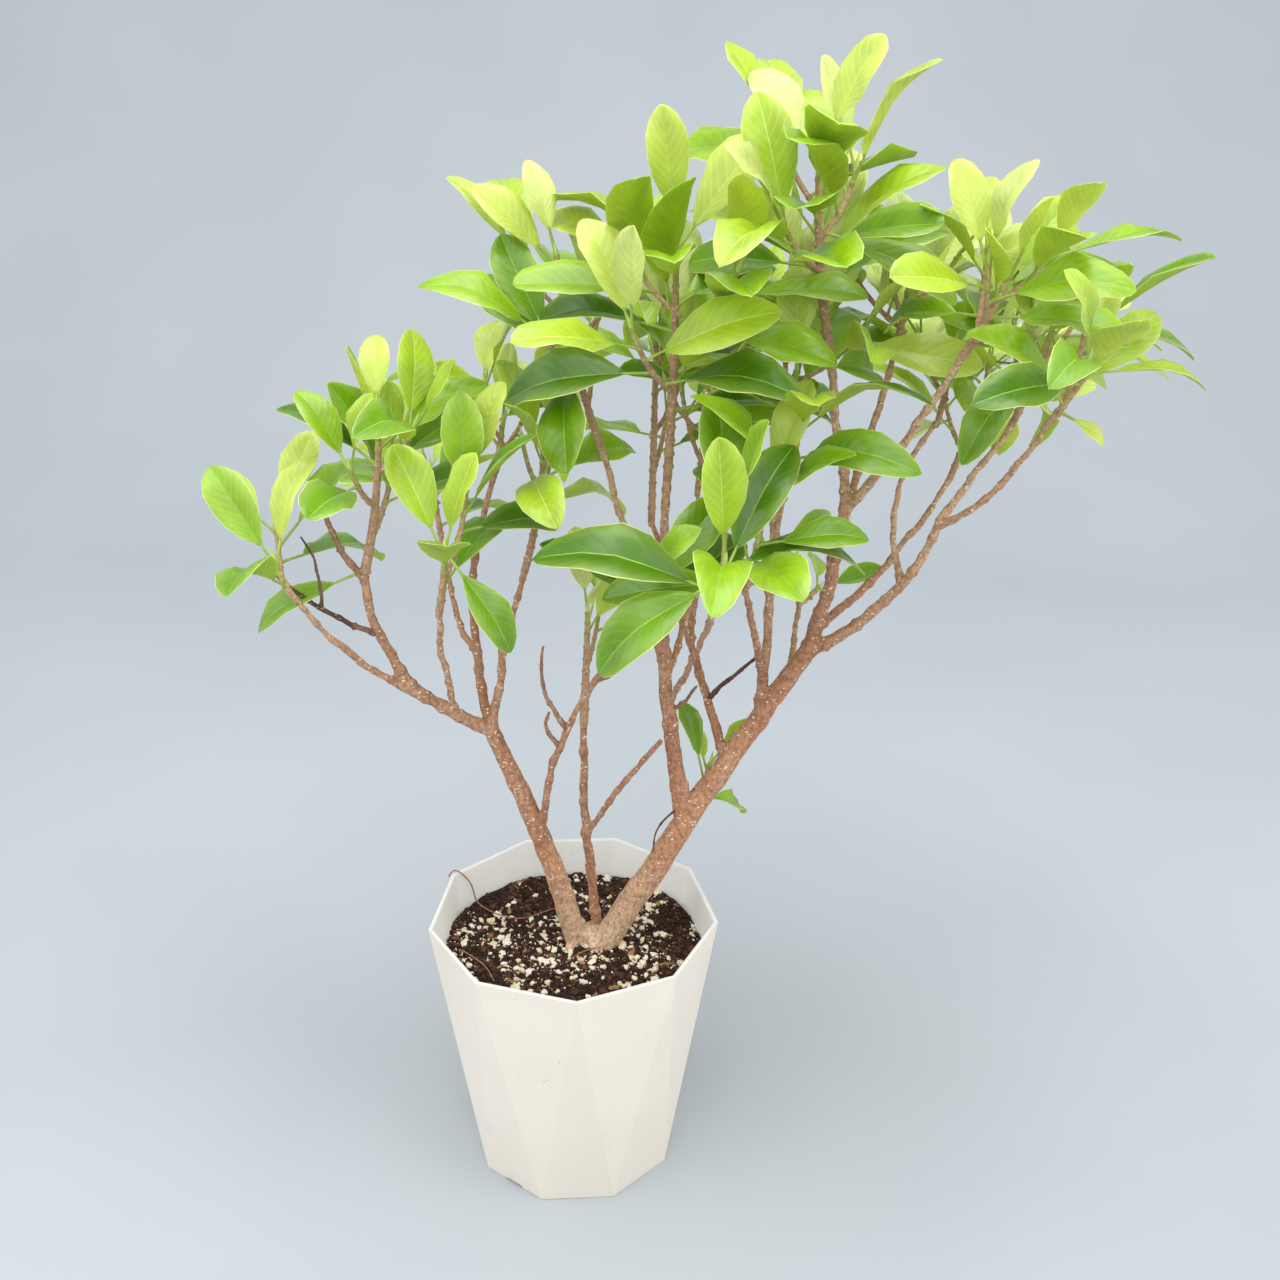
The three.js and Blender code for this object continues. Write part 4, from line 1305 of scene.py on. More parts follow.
def sweep(name: str, tubes: Iterable[Tube], sides: int) -> bpy.types.Mesh:
    """Closed round tubes, swept along curves and turned into one smooth mesh.

    Args:
        name: Name of the mesh.
        tubes: The tubes.
        sides: Faces round each, an even number.

    Returns:
        The mesh, in metres.
    """
    curve = bpy.data.curves.new(name, "CURVE")
    curve.dimensions = "3D"
    curve.bevel_depth = MM
    curve.bevel_resolution = sides // 2 - 2
    curve.use_fill_caps = True
    for tube in tubes:
        spline = curve.splines.new("POLY")
        spline.points.add(len(tube.points) - 1)
        places = np.column_stack([tube.points * MM, np.ones(len(tube.points))])
        spline.points.foreach_set("co", places.ravel())
        spline.points.foreach_set("radius", np.asarray(tube.radii, dtype=float))
    mesh = worked_out(linked(name, curve))
    bpy.data.curves.remove(curve)
    return smooth(mesh)


def points_of(mesh: bpy.types.Mesh) -> Vec:
    """Vertices of a mesh.

    Args:
        mesh: The mesh.

    Returns:
        Places, one a row, in metres.
    """
    places = np.empty(len(mesh.vertices) * 3)
    mesh.vertices.foreach_get("co", places)
    return places.reshape(-1, 3)


def smooth(mesh: bpy.types.Mesh) -> bpy.types.Mesh:
    """Shade every face of a mesh smoothly, and hand it on."""
    mesh.polygons.foreach_set("use_smooth", np.ones(len(mesh.polygons), dtype=bool))
    return mesh


def finished(bm: bmesh.types.BMesh, name: str) -> bpy.types.Mesh:
    """Mesh of a bmesh, which is then freed.

    Args:
        bm: The bmesh.
        name: Name of the mesh.

    Returns:
        The mesh.
    """
    mesh = bpy.data.meshes.new(name)
    bm.to_mesh(mesh)
    bm.free()
    return mesh


def of_kind(parts: Iterable[Any], kind: type) -> list[Any]:
    """Those parts of a bmesh that are of one kind."""
    return [part for part in parts if isinstance(part, kind)]


def present(mesh: bpy.types.Mesh, name: str, finishes: Sequence[Any],
            nodes: Iterable[str] = ()) -> None:
    """Show a finished mesh as a piece of the part.

    Args:
        mesh: The mesh, in metres and in place.
        name: Name of the piece.
        finishes: Finishes in the order of the mesh's material numbers.
        nodes: Solids of the frame that the piece stands for.
    """
    piece = linked(name, mesh)
    for finish in finishes:
        mesh.materials.append(finish.material())
    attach(piece, BODY)
    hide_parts(*nodes)
    LOG.info("%s: %d faces", name, len(mesh.polygons))


def mark_age(mesh: bpy.types.Mesh, places: Vec, ages: Sequence[float]) -> None:
    """Give each vertex the age of the nearest place along the wood.

    Args:
        mesh: The mesh, in metres.
        places: Places, one a row, in millimetres.
        ages: Age at each place.
    """
    tree = kdtree.KDTree(len(places))
    for number, place in enumerate(places):
        tree.insert(Vector(place * MM), number)
    tree.balance()
    values = np.array([ages[tree.find(vertex.co)[1]] for vertex in mesh.vertices], dtype=np.float32)
    mesh.attributes.new(AGE, "FLOAT", "POINT").data.foreach_set("value", values)


@dataclass
class Pot:
    """Nine-sided pot of eighteen triangles, with a thin rim and drain notches under its foot."""

    sides: int = 9
    height: float = 174
    rim_radius: float = 90
    foot_radius: float = 66
    foot_bearing: float = 14
    wall: float = 2.4
    inner_floor: float = 138
    flat_angle: float = 0.02
    sharp_angle: float = 0.5
    edge_round: float = 0.7
    edge_steps: int = 3
    notch_count: int = 3
    notch_bearing: float = 234
    notch_size: Point = (24, 13, 4)
    outside: PotFinish = PotFinish()
    # The inside finish is painted light: lighter than the outside, to offset the shade that the crown and the
    # walls cast on the inner wall.
    inside: PotFinish = PotFinish("ivory_inside", tone(255, 249, 239), tone(253, 245, 233), glow=0.9)

    def shell(self, bm: bmesh.types.BMesh, inset: float) -> list[bmesh.types.BMFace]:
        """Add the form between rim and foot, open at the top.

        Args:
            bm: Where it goes.
            inset: How far its corners are drawn in.

        Returns:
            Its faces.
        """
        corners = []
        half_side = 180 / self.sides
        for level, radius, turn in ((self.height, self.rim_radius, half_side), (0, self.foot_radius, 0)):
            for k in range(self.sides):
                bearing = self.foot_bearing + turn + 2 * half_side * k
                place = heading(bearing, 0) * (radius - inset) + UP * level
                corners.append(bm.verts.new(place * MM))
        hull = bmesh.ops.convex_hull(bm, input=corners)
        edges = list({edge for face in of_kind(hull["geom"], bmesh.types.BMFace) for edge in face.edges})
        bmesh.ops.dissolve_limit(bm, angle_limit=self.flat_angle, verts=corners, edges=edges)
        faces = list({face for corner in corners for face in corner.link_faces})
        top = max(faces, key=lambda face: face.calc_center_median().z)
        faces.remove(top)
        bmesh.ops.delete(bm, geom=[top], context="FACES_ONLY")
        return faces

    def body(self) -> bpy.types.Mesh:
        """The walls, with the rim closed over and the edges at rim and foot rounded.

        Returns:
            The mesh, in metres.
        """
        bm = bmesh.new()
        inner = self.shell(bm, self.wall / math.cos(math.pi / self.sides))
        parts = list({part for face in inner for part in (face, *face.verts, *face.edges)})
        cut = bmesh.ops.bisect_plane(bm, geom=parts, dist=CUT_SLACK, plane_co=(0, 0, self.inner_floor * MM),
                                     plane_no=(0, 0, 1), clear_inner=True)
        bmesh.ops.contextual_create(bm, geom=of_kind(cut["geom_cut"], bmesh.types.BMEdge))
        bmesh.ops.recalc_face_normals(bm, faces=bm.faces)
        bmesh.ops.reverse_faces(bm, faces=bm.faces)
        # Inner faces take the second finish, the one with painted light.
        for face in bm.faces:
            face.material_index = 1
        self.shell(bm, 0)
        rims = [edge for edge in bm.edges if edge.is_boundary]
        bmesh.ops.bridge_loops(bm, edges=rims)
        bmesh.ops.recalc_face_normals(bm, faces=bm.faces)
        levels = (0, self.height * MM)
        sharp = [edge for edge in bm.edges if any(self.lies_at(edge, level) for level in levels)]
        rounded = bmesh.ops.bevel(bm, geom=sharp, offset=self.edge_round * MM, offset_type="OFFSET",
                                  affect="EDGES", segments=self.edge_steps, profile=0.5, material=-1,
                                  clamp_overlap=True)
        for face in rounded["faces"]:
            face.smooth = True
        return finished(bm, "pot_body")

    def lies_at(self, edge: bmesh.types.BMEdge, level: float) -> bool:
        """Whether both ends of an edge lie at a height and its faces meet at an angle."""
        flat = all(abs(end.co.z - level) < LEVEL_SLACK for end in edge.verts)
        return flat and edge.calc_face_angle(0) > self.sharp_angle

    def notches(self) -> bpy.types.Mesh:
        """Blocks that cut the drain notches out of the foot.

        Returns:
            The blocks as one mesh, in metres.
        """
        bm = bmesh.new()
        reach = self.foot_radius * math.cos(math.pi / self.sides)
        scale = Matrix.Diagonal((*[size * MM for size in self.notch_size], 1))
        for k in range(self.notch_count):
            turn = math.radians(self.notch_bearing + 360 * k / self.notch_count)
            place = Matrix.Rotation(turn, 4, "Z") @ Matrix.Translation((reach * MM, 0, 0)) @ scale
            bmesh.ops.create_cube(bm, size=1, matrix=place)
        return finished(bm, "notch_blocks")

    def build(self) -> None:
        """Cut the notches and show the pot."""
        holder = linked("pot_holder", self.body())
        cutter = linked("notch_blocks", self.notches())
        cut = holder.modifiers.new("notches", "BOOLEAN")
        cut.operation = "DIFFERENCE"
        cut.solver = "EXACT"
        cut.object = cutter
        mesh = worked_out(holder)
        bpy.data.objects.remove(cutter)
        present(mesh, "faceted_pot", [self.outside, self.inside], ["pot"])


@dataclass(frozen=True)
class Strewn:
    """Lumps of one kind on the bed: least and most radius in millimetres, shape, and how they gather."""

    name: str
    count: int
    sizes: Pair
    shape: Point
    earths: tuple[Earth, ...]
    clump: float = 0


@dataclass
class Soil:
    """Dark potting soil: an uneven bed strewn with crumbs, white grit, bark chips and thin roots."""

    radius: float = 80.5
    bottom: float = 140
    cells: int = 96
    sunk: float = 0.6
    mound: float = 3.0
    mound_reach: float = 34
    swell: float = 2.2
    swell_scale: float = 0.045
    swell_layer: float = 3
    ripple: float = 0.7
    ripple_scale: float = 0.22
    ripple_layer: float = 7
    strewn_share: float = 0.97
    patch_scale: float = 0.06
    patch_layer: float = 40
    gather_spread: float = 0.5
    gather_pull: float = 0.5
    gather_reach: float = 30
    small_power: float = 2.4
    bedding: float = 0.3
    lump: float = 0.24
    stretch: Pair = (0.75, 1.25)
    lean: float = 0.5
    root_radii: Pair = (0.5, 0.4)
    root_sides: int = 6
    seed: int = 11
    strewn: tuple[Strewn, ...] = (
        Strewn("soil_crumbs", 6500, (0.4, 2.1), (1.2, 1, 0.8),
               (Earth.BLACK, Earth.BLACK, Earth.BLACK, Earth.BROWN, Earth.RED)),
        Strewn("soil_grit", 2300, (0.3, 0.9), (1, 1, 0.9), (Earth.WHITE, Earth.WHITE, Earth.CREAM), 0.8),
        Strewn("white_grains", 820, (0.6, 2.7), (1.1, 1, 0.85), (Earth.WHITE, Earth.WHITE, Earth.CREAM), 0.8),
        Strewn("bark_chips", 90, (1.0, 3.2), (1.9, 0.7, 0.4), (Earth.CHIP, Earth.HUSK)),
    )
    roots: tuple[tuple[Point, ...], ...] = (
        ((-83, 41, 171), (-81, 40, 175.4), (-78, 41, 176), (-73, 42, 171), (-69, 42, 165), (-67.5, 42, 158.6),
         (-66, 39, 154), (-61, 33, 153), (-49, 24, 153), (-34, 19, 153.5), (-23, 26, 154), (-12, 34, 153)),
        ((-69, -12, 152), (-61, -20, 153), (-52, -29, 153), (-46, -41, 151)),
        ((-4, -24, 152), (2, -18, 154), (10, -14, 155.5), (17, -11, 155)),
    )

    def height(self, place: Vec) -> float:
        """Height of the bed.

        Args:
            place: Place on the level, in millimetres.

        Returns:
            Height in millimetres.
        """
        x, y = place
        away = math.hypot(x - TRUNK[0], y - TRUNK[1])
        mound = self.mound * math.exp(-(away / self.mound_reach) ** 2)
        swell = noise.noise(Vector((x * self.swell_scale, y * self.swell_scale, self.swell_layer)))
        ripple = noise.noise(Vector((x * self.ripple_scale, y * self.ripple_scale, self.ripple_layer)))
        return GROUND - self.sunk + mound + self.swell * swell + self.ripple * ripple

    def bed(self) -> bpy.types.Mesh:
        """The bed: a round uneven cake.

        Returns:
            The mesh, in metres.
        """
        bm = bmesh.new()
        bmesh.ops.create_grid(bm, x_segments=self.cells, y_segments=self.cells, size=1)
        for vertex in bm.verts:
            x, y = vertex.co.x, vertex.co.y
            place = np.array([x * math.sqrt(1 - y * y / 2), y * math.sqrt(1 - x * x / 2)]) * self.radius
            vertex.co = Vector((place[0], place[1], self.height(place))) * MM
        rim = [edge for edge in bm.edges if edge.is_boundary]
        skirt = bmesh.ops.extrude_edge_only(bm, edges=rim)["geom"]
        for vertex in of_kind(skirt, bmesh.types.BMVert):
            vertex.co.z = self.bottom * MM
        low = [edge for edge in bm.edges if edge.is_boundary]
        bmesh.ops.contextual_create(bm, geom=low)
        bmesh.ops.recalc_face_normals(bm, faces=bm.faces)
        return smooth(finished(bm, "soil_bed"))

    def places(self, lumps: Strewn, dice: np.random.Generator) -> Vec:
        """Places of lumps on the level, gathered in patches and round the trunk where the lumps clump.

        Args:
            lumps: The lumps.
            dice: Seeded chance.

        Returns:
            Places, one a row, in millimetres.
        """
        tries = int(lumps.count * (1 + lumps.clump))
        bearing = dice.uniform(0, 2 * math.pi, tries)
        away = self.radius * np.sqrt(dice.uniform(0, self.strewn_share, tries))
        level = np.column_stack([np.cos(bearing), np.sin(bearing)]) * away[:, None]
        spots = [Vector((x, y, self.patch_layer)) * self.patch_scale for x, y in level]
        patches = np.array([noise.noise(spot) for spot in spots])
        nearness = np.exp(-np.sum((level - np.array(TRUNK)) ** 2, axis=1) / self.gather_reach ** 2)
        order = np.argsort(dice.uniform(0, self.gather_spread, tries) - patches - self.gather_pull * nearness)
        return level[order[:lumps.count]]

    def scatter(self, lumps: Strewn, dice: np.random.Generator) -> bpy.types.Mesh:
        """Small lumps strewn over the bed, as one mesh.

        Args:
            lumps: The lumps.
            dice: Seeded chance.

        Returns:
            The mesh, in metres.
        """
        bm = bmesh.new()
        bmesh.ops.create_icosphere(bm, subdivisions=1, radius=1)
        corners = np.array([vertex.co for vertex in bm.verts])
        faces = np.array([[vertex.index for vertex in face.verts] for face in bm.faces])
        bm.free()
        count, (least, most) = lumps.count, lumps.sizes
        level = self.places(lumps, dice)
        radius = least + (most - least) * dice.uniform(0, 1, count) ** self.small_power
        rise = np.array([self.height(place) for place in level]) + radius * lumps.shape[2] * self.bedding
        uneven = 1 + self.lump * dice.uniform(-1, 1, (count, len(corners), 1))
        stretch = np.array(lumps.shape) * dice.uniform(*self.stretch, (count, 3))
        forms = corners[None] * uneven * stretch[:, None] * radius[:, None, None]
        turn = dice.uniform(0, 2 * math.pi, count)
        lean = dice.uniform(-self.lean, self.lean, count)
        cos, sin = np.cos(turn)[:, None], np.sin(turn)[:, None]
        tipped = forms[..., 2] + forms[..., 0] * np.sin(lean)[:, None]
        x = forms[..., 0] * cos - forms[..., 1] * sin + level[:, :1]
        y = forms[..., 0] * sin + forms[..., 1] * cos + level[:, 1:]
        places = np.stack([x, y, tipped + rise[:, None]], axis=-1).reshape(-1, 3) * MM
        starts = (np.arange(count) * len(corners))[:, None, None]
        mesh = bpy.data.meshes.new(lumps.name)
        mesh.from_pydata(places.tolist(), [], (faces[None] + starts).reshape(-1, 3).tolist())
        dealt = np.repeat(dice.integers(0, len(lumps.earths), count), len(faces)).astype(np.int32)
        mesh.polygons.foreach_set("material_index", dealt)
        return mesh

    def build(self) -> None:
        """Show the bed and all that lies on it."""
        present(self.bed(), "soil_bed", [Earth.BLACK.value], ["soil"])
        dice = np.random.default_rng(self.seed)
        for lumps in self.strewn:
            finishes = [earth.value for earth in lumps.earths]
            present(self.scatter(lumps, dice), lumps.name, finishes)
        paths = [rounded_path(np.array(path, dtype=float)) for path in self.roots]
        tubes = [Tube(path, np.linspace(*self.root_radii, len(path))) for path in paths]
        mesh = sweep("thin_roots", tubes, self.root_sides)
        present(mesh, "thin_roots", [Earth.ROOT.value])


def rounded_path(points: Vec) -> Vec:
    """Points of a path with its corners cut twice.

    Args:
        points: Points, one a row.

    Returns:
        More points on a smoother path with the same ends.
    """
    for _ in range(CORNER_PASSES):
        near = points[:-1] * (1 - CORNER_CUT) + points[1:] * CORNER_CUT
        far = points[:-1] * CORNER_CUT + points[1:] * (1 - CORNER_CUT)
        middle = np.stack([near, far], axis=1).reshape(-1, 3)
        points = np.vstack([points[:1], middle, points[-1:]])
    return points


def share_of(value: Any, band: Pair) -> Any:
    """Share of the way that a value, or each of many, has gone from one end of a band to the other."""
    return np.clip((value - band[0]) / (band[1] - band[0]), 0, 1)


@dataclass
class Wood:
    """Root flare, stems and boughs as one barked body, and the bare twigs on it."""

    plant: Plant
    sides: int = 16
    steps: int = 44
    voxel: float = 1.0
    soft_passes: int = 3
    soft_share: float = 0.5
    name_step: float = 0.37
    collar: float = 0.3
    collar_reach: float = 2.4
    wander: float = 1.7
    wander_length: float = 26
    kink: float = 0.8
    kink_length: float = 9
    held_ends: float = 4
    knot: float = 0.34
    knot_step: float = 11
    knot_power: int = 6
    knot_radii: Pair = (6.5, 3.5)
    relief: tuple[tuple[float, Point], ...] = (
        (0.45, (0.11, 0.11, 0.11)), (0.2, (0.12, 0.12, 0.55)), (0.22, (0.6, 0.6, 0.6)))
    low_band: Pair = (GROUND, GROUND + 75)
    thin_band: Pair = (7, 2)
    young_band: Pair = (340, 460)
    age_shares: Point = (0.35, 0.4, 0.25)
    limb_spread: float = 0.14
    limb_step: float = 0.61
    limb_radii: Pair = (5, 3)
    flare_core: tuple[Pair, ...] = ((-5, 12), (4, 10), (9, 5))
    flare_roots: int = 5
    flare_path: tuple[Pair, ...] = ((0, 9), (8, 6), (14, 1.5), (20, -4))
    flare_radii: Pair = (5, 2.6)
    twig_sides: int = 8
    scar: float = 0.22
    scar_first: int = 3
    scar_every: int = 6
    seed: int = 5
    # The last two stops, on thin high boughs, are partly young tan bark and partly painted light: lifted
    # paler to offset the shade that the crown casts on them.
    bark: BarkFinish = BarkFinish("red_brown_bark", (
        (0.0, tone(228, 200, 168)), (0.14, tone(208, 172, 143)), (0.38, tone(200, 145, 108)),
        (0.58, tone(174, 126, 99)), (0.76, tone(188, 142, 111)), (1.0, tone(214, 178, 144))))
    dry: BarkFinish = BarkFinish("dry_bark", (
        (0.0, tone(156, 116, 90)), (1.0, tone(88, 64, 54))), pore_share=0.3)

    def key(self, name: str) -> int:
        """A number that sets one limb apart from the others."""
        return sum(ord(letter) for letter in name)

    def line(self, name: str, limb: Limb) -> Tube:
        """A limb as a tube that swells where it begins, has knots, and wanders a little.

        Args:
            name: Name of the limb, which sets how it wanders.
            limb: The limb.

        Returns:
            The tube.
        """
        shares = np.linspace(0, 1, self.steps + 1)
        collar = 0 if name.endswith("stem") else self.collar
        begins = 1 + collar * np.exp(-shares * limb.length / (self.collar_reach * limb.radii[0]))
        shift = self.key(name) * self.name_step
        waves = np.cos(2 * math.pi * (shares * limb.length / self.knot_step + shift))
        knots = np.maximum(0, waves) ** self.knot_power
        plain = np.array([limb.radius(share) for share in shares])
        radii = plain * begins * (1 + self.knot * knots * share_of(plain, self.knot_radii))
        points = limb.path(self.steps)
        for number, share in enumerate(shares):
            at = share * limb.length
            turn = noise.noise_vector(Vector((at / self.wander_length, shift, self.seed)))
            kink = noise.noise_vector(Vector((at / self.kink_length, self.seed, shift)))
            hold = min(1, self.held_ends * share, self.held_ends * (1 - share))
            points[number] += (np.array(turn) * self.wander + np.array(kink) * self.kink) * hold
        return Tube(points, radii)

    def flare(self) -> list[Tube]:
        """Ridged roots that spread from the foot of the stems into the soil.

        Returns:
            The core and the roots.
        """
        middle = np.array([*TRUNK, GROUND])
        core = np.array([middle + UP * level for level, _ in self.flare_core])
        tubes = [Tube(core, np.array([radius for _, radius in self.flare_core]))]
        for k in range(self.flare_roots):
            away = heading(360 * k / self.flare_roots, 0)
            path = [middle + away * out + UP * level for out, level in self.flare_path]
            points = rounded_path(np.array(path))
            tubes.append(Tube(points, np.linspace(*self.flare_radii, len(points))))
        return tubes

    def body(self) -> bpy.types.Mesh:
        """Stems and boughs grown together, with knobbly relief.

        Returns:
            The mesh, in metres.
        """
        lines = {name: self.line(name, limb) for name, limb in self.plant.limbs.items()}
        holder = linked("wood_holder", sweep("wood", [*lines.values(), *self.flare()], self.sides))
        fuse = holder.modifiers.new("fuse", "REMESH")
        fuse.mode = "VOXEL"
        fuse.voxel_size = self.voxel * MM
        soften = holder.modifiers.new("soften", "SMOOTH")
        soften.iterations = self.soft_passes
        soften.factor = self.soft_share
        body = worked_out(holder)
        self.carve(body)
        places = np.vstack([line.points for line in lines.values()])
        radii = np.concatenate([line.radii for line in lines.values()])
        shifts = np.repeat([self.age_shift(name) for name in lines], self.steps + 1)
        mark_age(body, places, self.ages(places, radii) + shifts * share_of(radii, self.limb_radii))
        return smooth(body)

    def age_shift(self, name: str) -> float:
        """How much older or younger the bark of a thin limb looks than its place and size say."""
        return self.limb_spread * (2 * (self.key(name) * self.limb_step % 1) - 1) * name.endswith("bough")

    def ages(self, places: Vec, radii: Vec) -> Vec:
        """Age of the bark: 0 where the stems leave the soil, 1 on the thinnest boughs, whose colour is partly
        painted light.

        Args:
            places: Places along the limbs, one a row, in millimetres.
            radii: Radius of the limb at each place.

        Returns:
            The age at each place.
        """
        height, thin = share_of(places[:, 2], self.low_band), share_of(radii, self.thin_band)
        young = share_of(places[:, 2], self.young_band)
        height_share, thin_share, young_share = self.age_shares
        return height_share * height + thin_share * thin + young_share * young * thin

    def carve(self, mesh: bpy.types.Mesh) -> None:
        """Press soft knobs and rings into the bark.

        Args:
            mesh: The fused mesh, in metres.
        """
        normals = np.empty(len(mesh.vertices) * 3)
        mesh.vertex_normals.foreach_get("vector", normals)
        places = points_of(mesh)
        raised = np.zeros((len(places), 1))
        for number, place in enumerate(places / MM):
            raised[number] = sum(depth * noise.noise(Vector(place * scale)) for depth, scale in self.relief)
        carved = places + normals.reshape(-1, 3) * raised * MM
        mesh.vertices.foreach_set("co", carved.ravel())

    def twigs(self) -> bpy.types.Mesh:
        """Bare twigs with small knobs where leaves have been.

        Returns:
            The mesh, in metres.
        """
        tubes = [self.line(name, limb) for name, limb in self.plant.bare.items()]
        for tube in tubes:
            scars = np.arange(len(tube.radii)) % self.scar_every == self.scar_first
            tube.radii = tube.radii * (1 + self.scar * scars)
        mesh = sweep("bare_twigs", tubes, self.twig_sides)
        ages = [float(name in DARK_TWIGS) for name in self.plant.bare]
        mark_age(mesh, np.vstack([tube.points for tube in tubes]), np.repeat(ages, self.steps + 1))
        return mesh

    def build(self) -> None:
        """Show the barked body and the bare twigs."""
        noise.seed_set(self.seed)
        present(self.body(), "barked_wood", [self.bark], ["root_flare", *self.plant.limbs])
        present(self.twigs(), "bare_twigs", [self.dry])


@dataclass
class Shoots:
    """Leafy shoots: green-brown twigs knobbed at each leaf, leaf stalks, and a slim bud at each tip."""

    plant: Plant
    steps: int = 12
    twig_sides: int = 8
    back: float = 4.0
    back_radius: float = 0.92
    knob: float = 0.3
    knob_reach: float = 1.3
    scar_step: float = 7.5
    green_reach: float = 48
    stout: float = 1.25
    sides: int = 6
    stalk_sunk: float = 2
    stalk_bow: Pair = (1.2, 0.8)
    stalk_radii: tuple[float, ...] = (1.25, 0.95, 0.8, 0.75, 0.75, 0.45)
    bud_length: float = 9.0
    bud_spread: float = 0.3
    bud_sunk: float = 1
    bud_radii: tuple[float, ...] = (1.05, 1.2, 1.2, 1.0, 0.7, 0.38, 0.06)
    seed: int = 23
    bark: BarkFinish = BarkFinish("young_bark", (
        (0.0, tone(190, 152, 120)), (0.45, tone(194, 160, 122)), (0.75, tone(186, 168, 110)),
        (1.0, tone(168, 186, 84))), pore_share=0.5, grain_share=0.35)
    stalk_skin: ShootFinish = ShootFinish("stalk_green", tone(176, 196, 92), tone(150, 176, 70))
    bud_skin: ShootFinish = ShootFinish("bud_green", tone(206, 218, 130), tone(178, 204, 96))

    def twig(self, number: int, shoot: Limb) -> tuple[Tube, list[float]]:
        """A shoot as a tube with a knob at each leaf and at each scar below the leaves.

        Args:
            number: Number of the shoot.
            shoot: The shoot.

        Returns:
            The tube, and the age at each of its points.
        """
        nodes = [leaf.root for leaf in self.plant.leaves if leaf.shoot == number]
        chord = shoot.tip - shoot.start
        places = [float((node - shoot.start) @ chord) / shoot.length ** 2 for node in nodes]
        first = min(places, default=1)
        places += list(np.arange(self.scar_step / shoot.length, first, self.scar_step / shoot.length))
        reach = self.knob_reach / shoot.length
        shares = set(np.linspace(0, 1, self.steps + 1))
        for place in places:
            shares |= {place - reach, place, place + reach}
        ordered = sorted(share for share in shares if 0 <= share <= 1)
        knobs = [max((1 - abs(share - place) / reach for place in places), default=0) for share in ordered]
        radii = [shoot.radius(share) * self.stout * (1 + self.knob * max(0, knob))
                 for share, knob in zip(ordered, knobs)]
        begin = shoot.start - shoot.tangent(0) * self.back
        points = np.vstack([begin[None], [shoot.point(share) for share in ordered]])
        ages = [0.0, *[max(0, 1 - shoot.length * (1 - share) / self.green_reach) for share in ordered]]
        return Tube(points, np.array([shoot.radii[0] * self.back_radius, *radii])), ages

    def stalk(self, leaf: Leaf) -> Tube:
        """A leaf's stalk, bowed from the shoot into the blade.

        Args:
            leaf: The leaf.

        Returns:
            The stalk.
        """
        start, end = leaf.root, leaf.base + leaf.along * self.stalk_sunk
        bow = (start + end) / 2 + leaf.axis * self.stalk_bow[0] - leaf.face * self.stalk_bow[1]
        shares = np.linspace(0, 1, len(self.stalk_radii))[:, None]
        points = (1 - shares) ** 2 * start + 2 * shares * (1 - shares) * bow + shares ** 2 * end
        return Tube(points, np.array(self.stalk_radii))

    def bud(self, shoot: Limb, chance: Chance) -> Tube:
        """The slim pointed bud at a shoot's tip.

        Args:
            shoot: The shoot.
            chance: Chance for its length.

        Returns:
            The bud.
        """
        length = self.bud_length * chance.around(1, self.bud_spread)
        places = np.linspace(-self.bud_sunk, length, len(self.bud_radii))[:, None]
        return Tube(shoot.tip + shoot.tangent(1) * places, np.array(self.bud_radii))

    def twigs(self) -> bpy.types.Mesh:
        """All shoots as one mesh, with the age of their bark.

        Returns:
            The mesh, in metres.
        """
        grown = [self.twig(number, shoot) for number, shoot in enumerate(self.plant.shoots)]
        tubes = [tube for tube, _ in grown]
        mesh = sweep("leafy_twigs", tubes, self.twig_sides)
        mark_age(mesh, np.vstack([tube.points for tube in tubes]), [age for _, ages in grown for age in ages])
        return mesh

    def build(self) -> None:
        """Show twigs, stalks and buds."""
        present(self.twigs(), "leafy_twigs", [self.bark])
        stalks = sweep("leaf_stalks", [self.stalk(leaf) for leaf in self.plant.leaves], self.sides)
        present(stalks, "leaf_stalks", [self.stalk_skin])
        chance = Chance(self.seed)
        buds = sweep("leaf_buds", [self.bud(shoot, chance) for shoot in self.plant.shoots], self.sides)
        present(buds, "leaf_buds", [self.bud_skin])


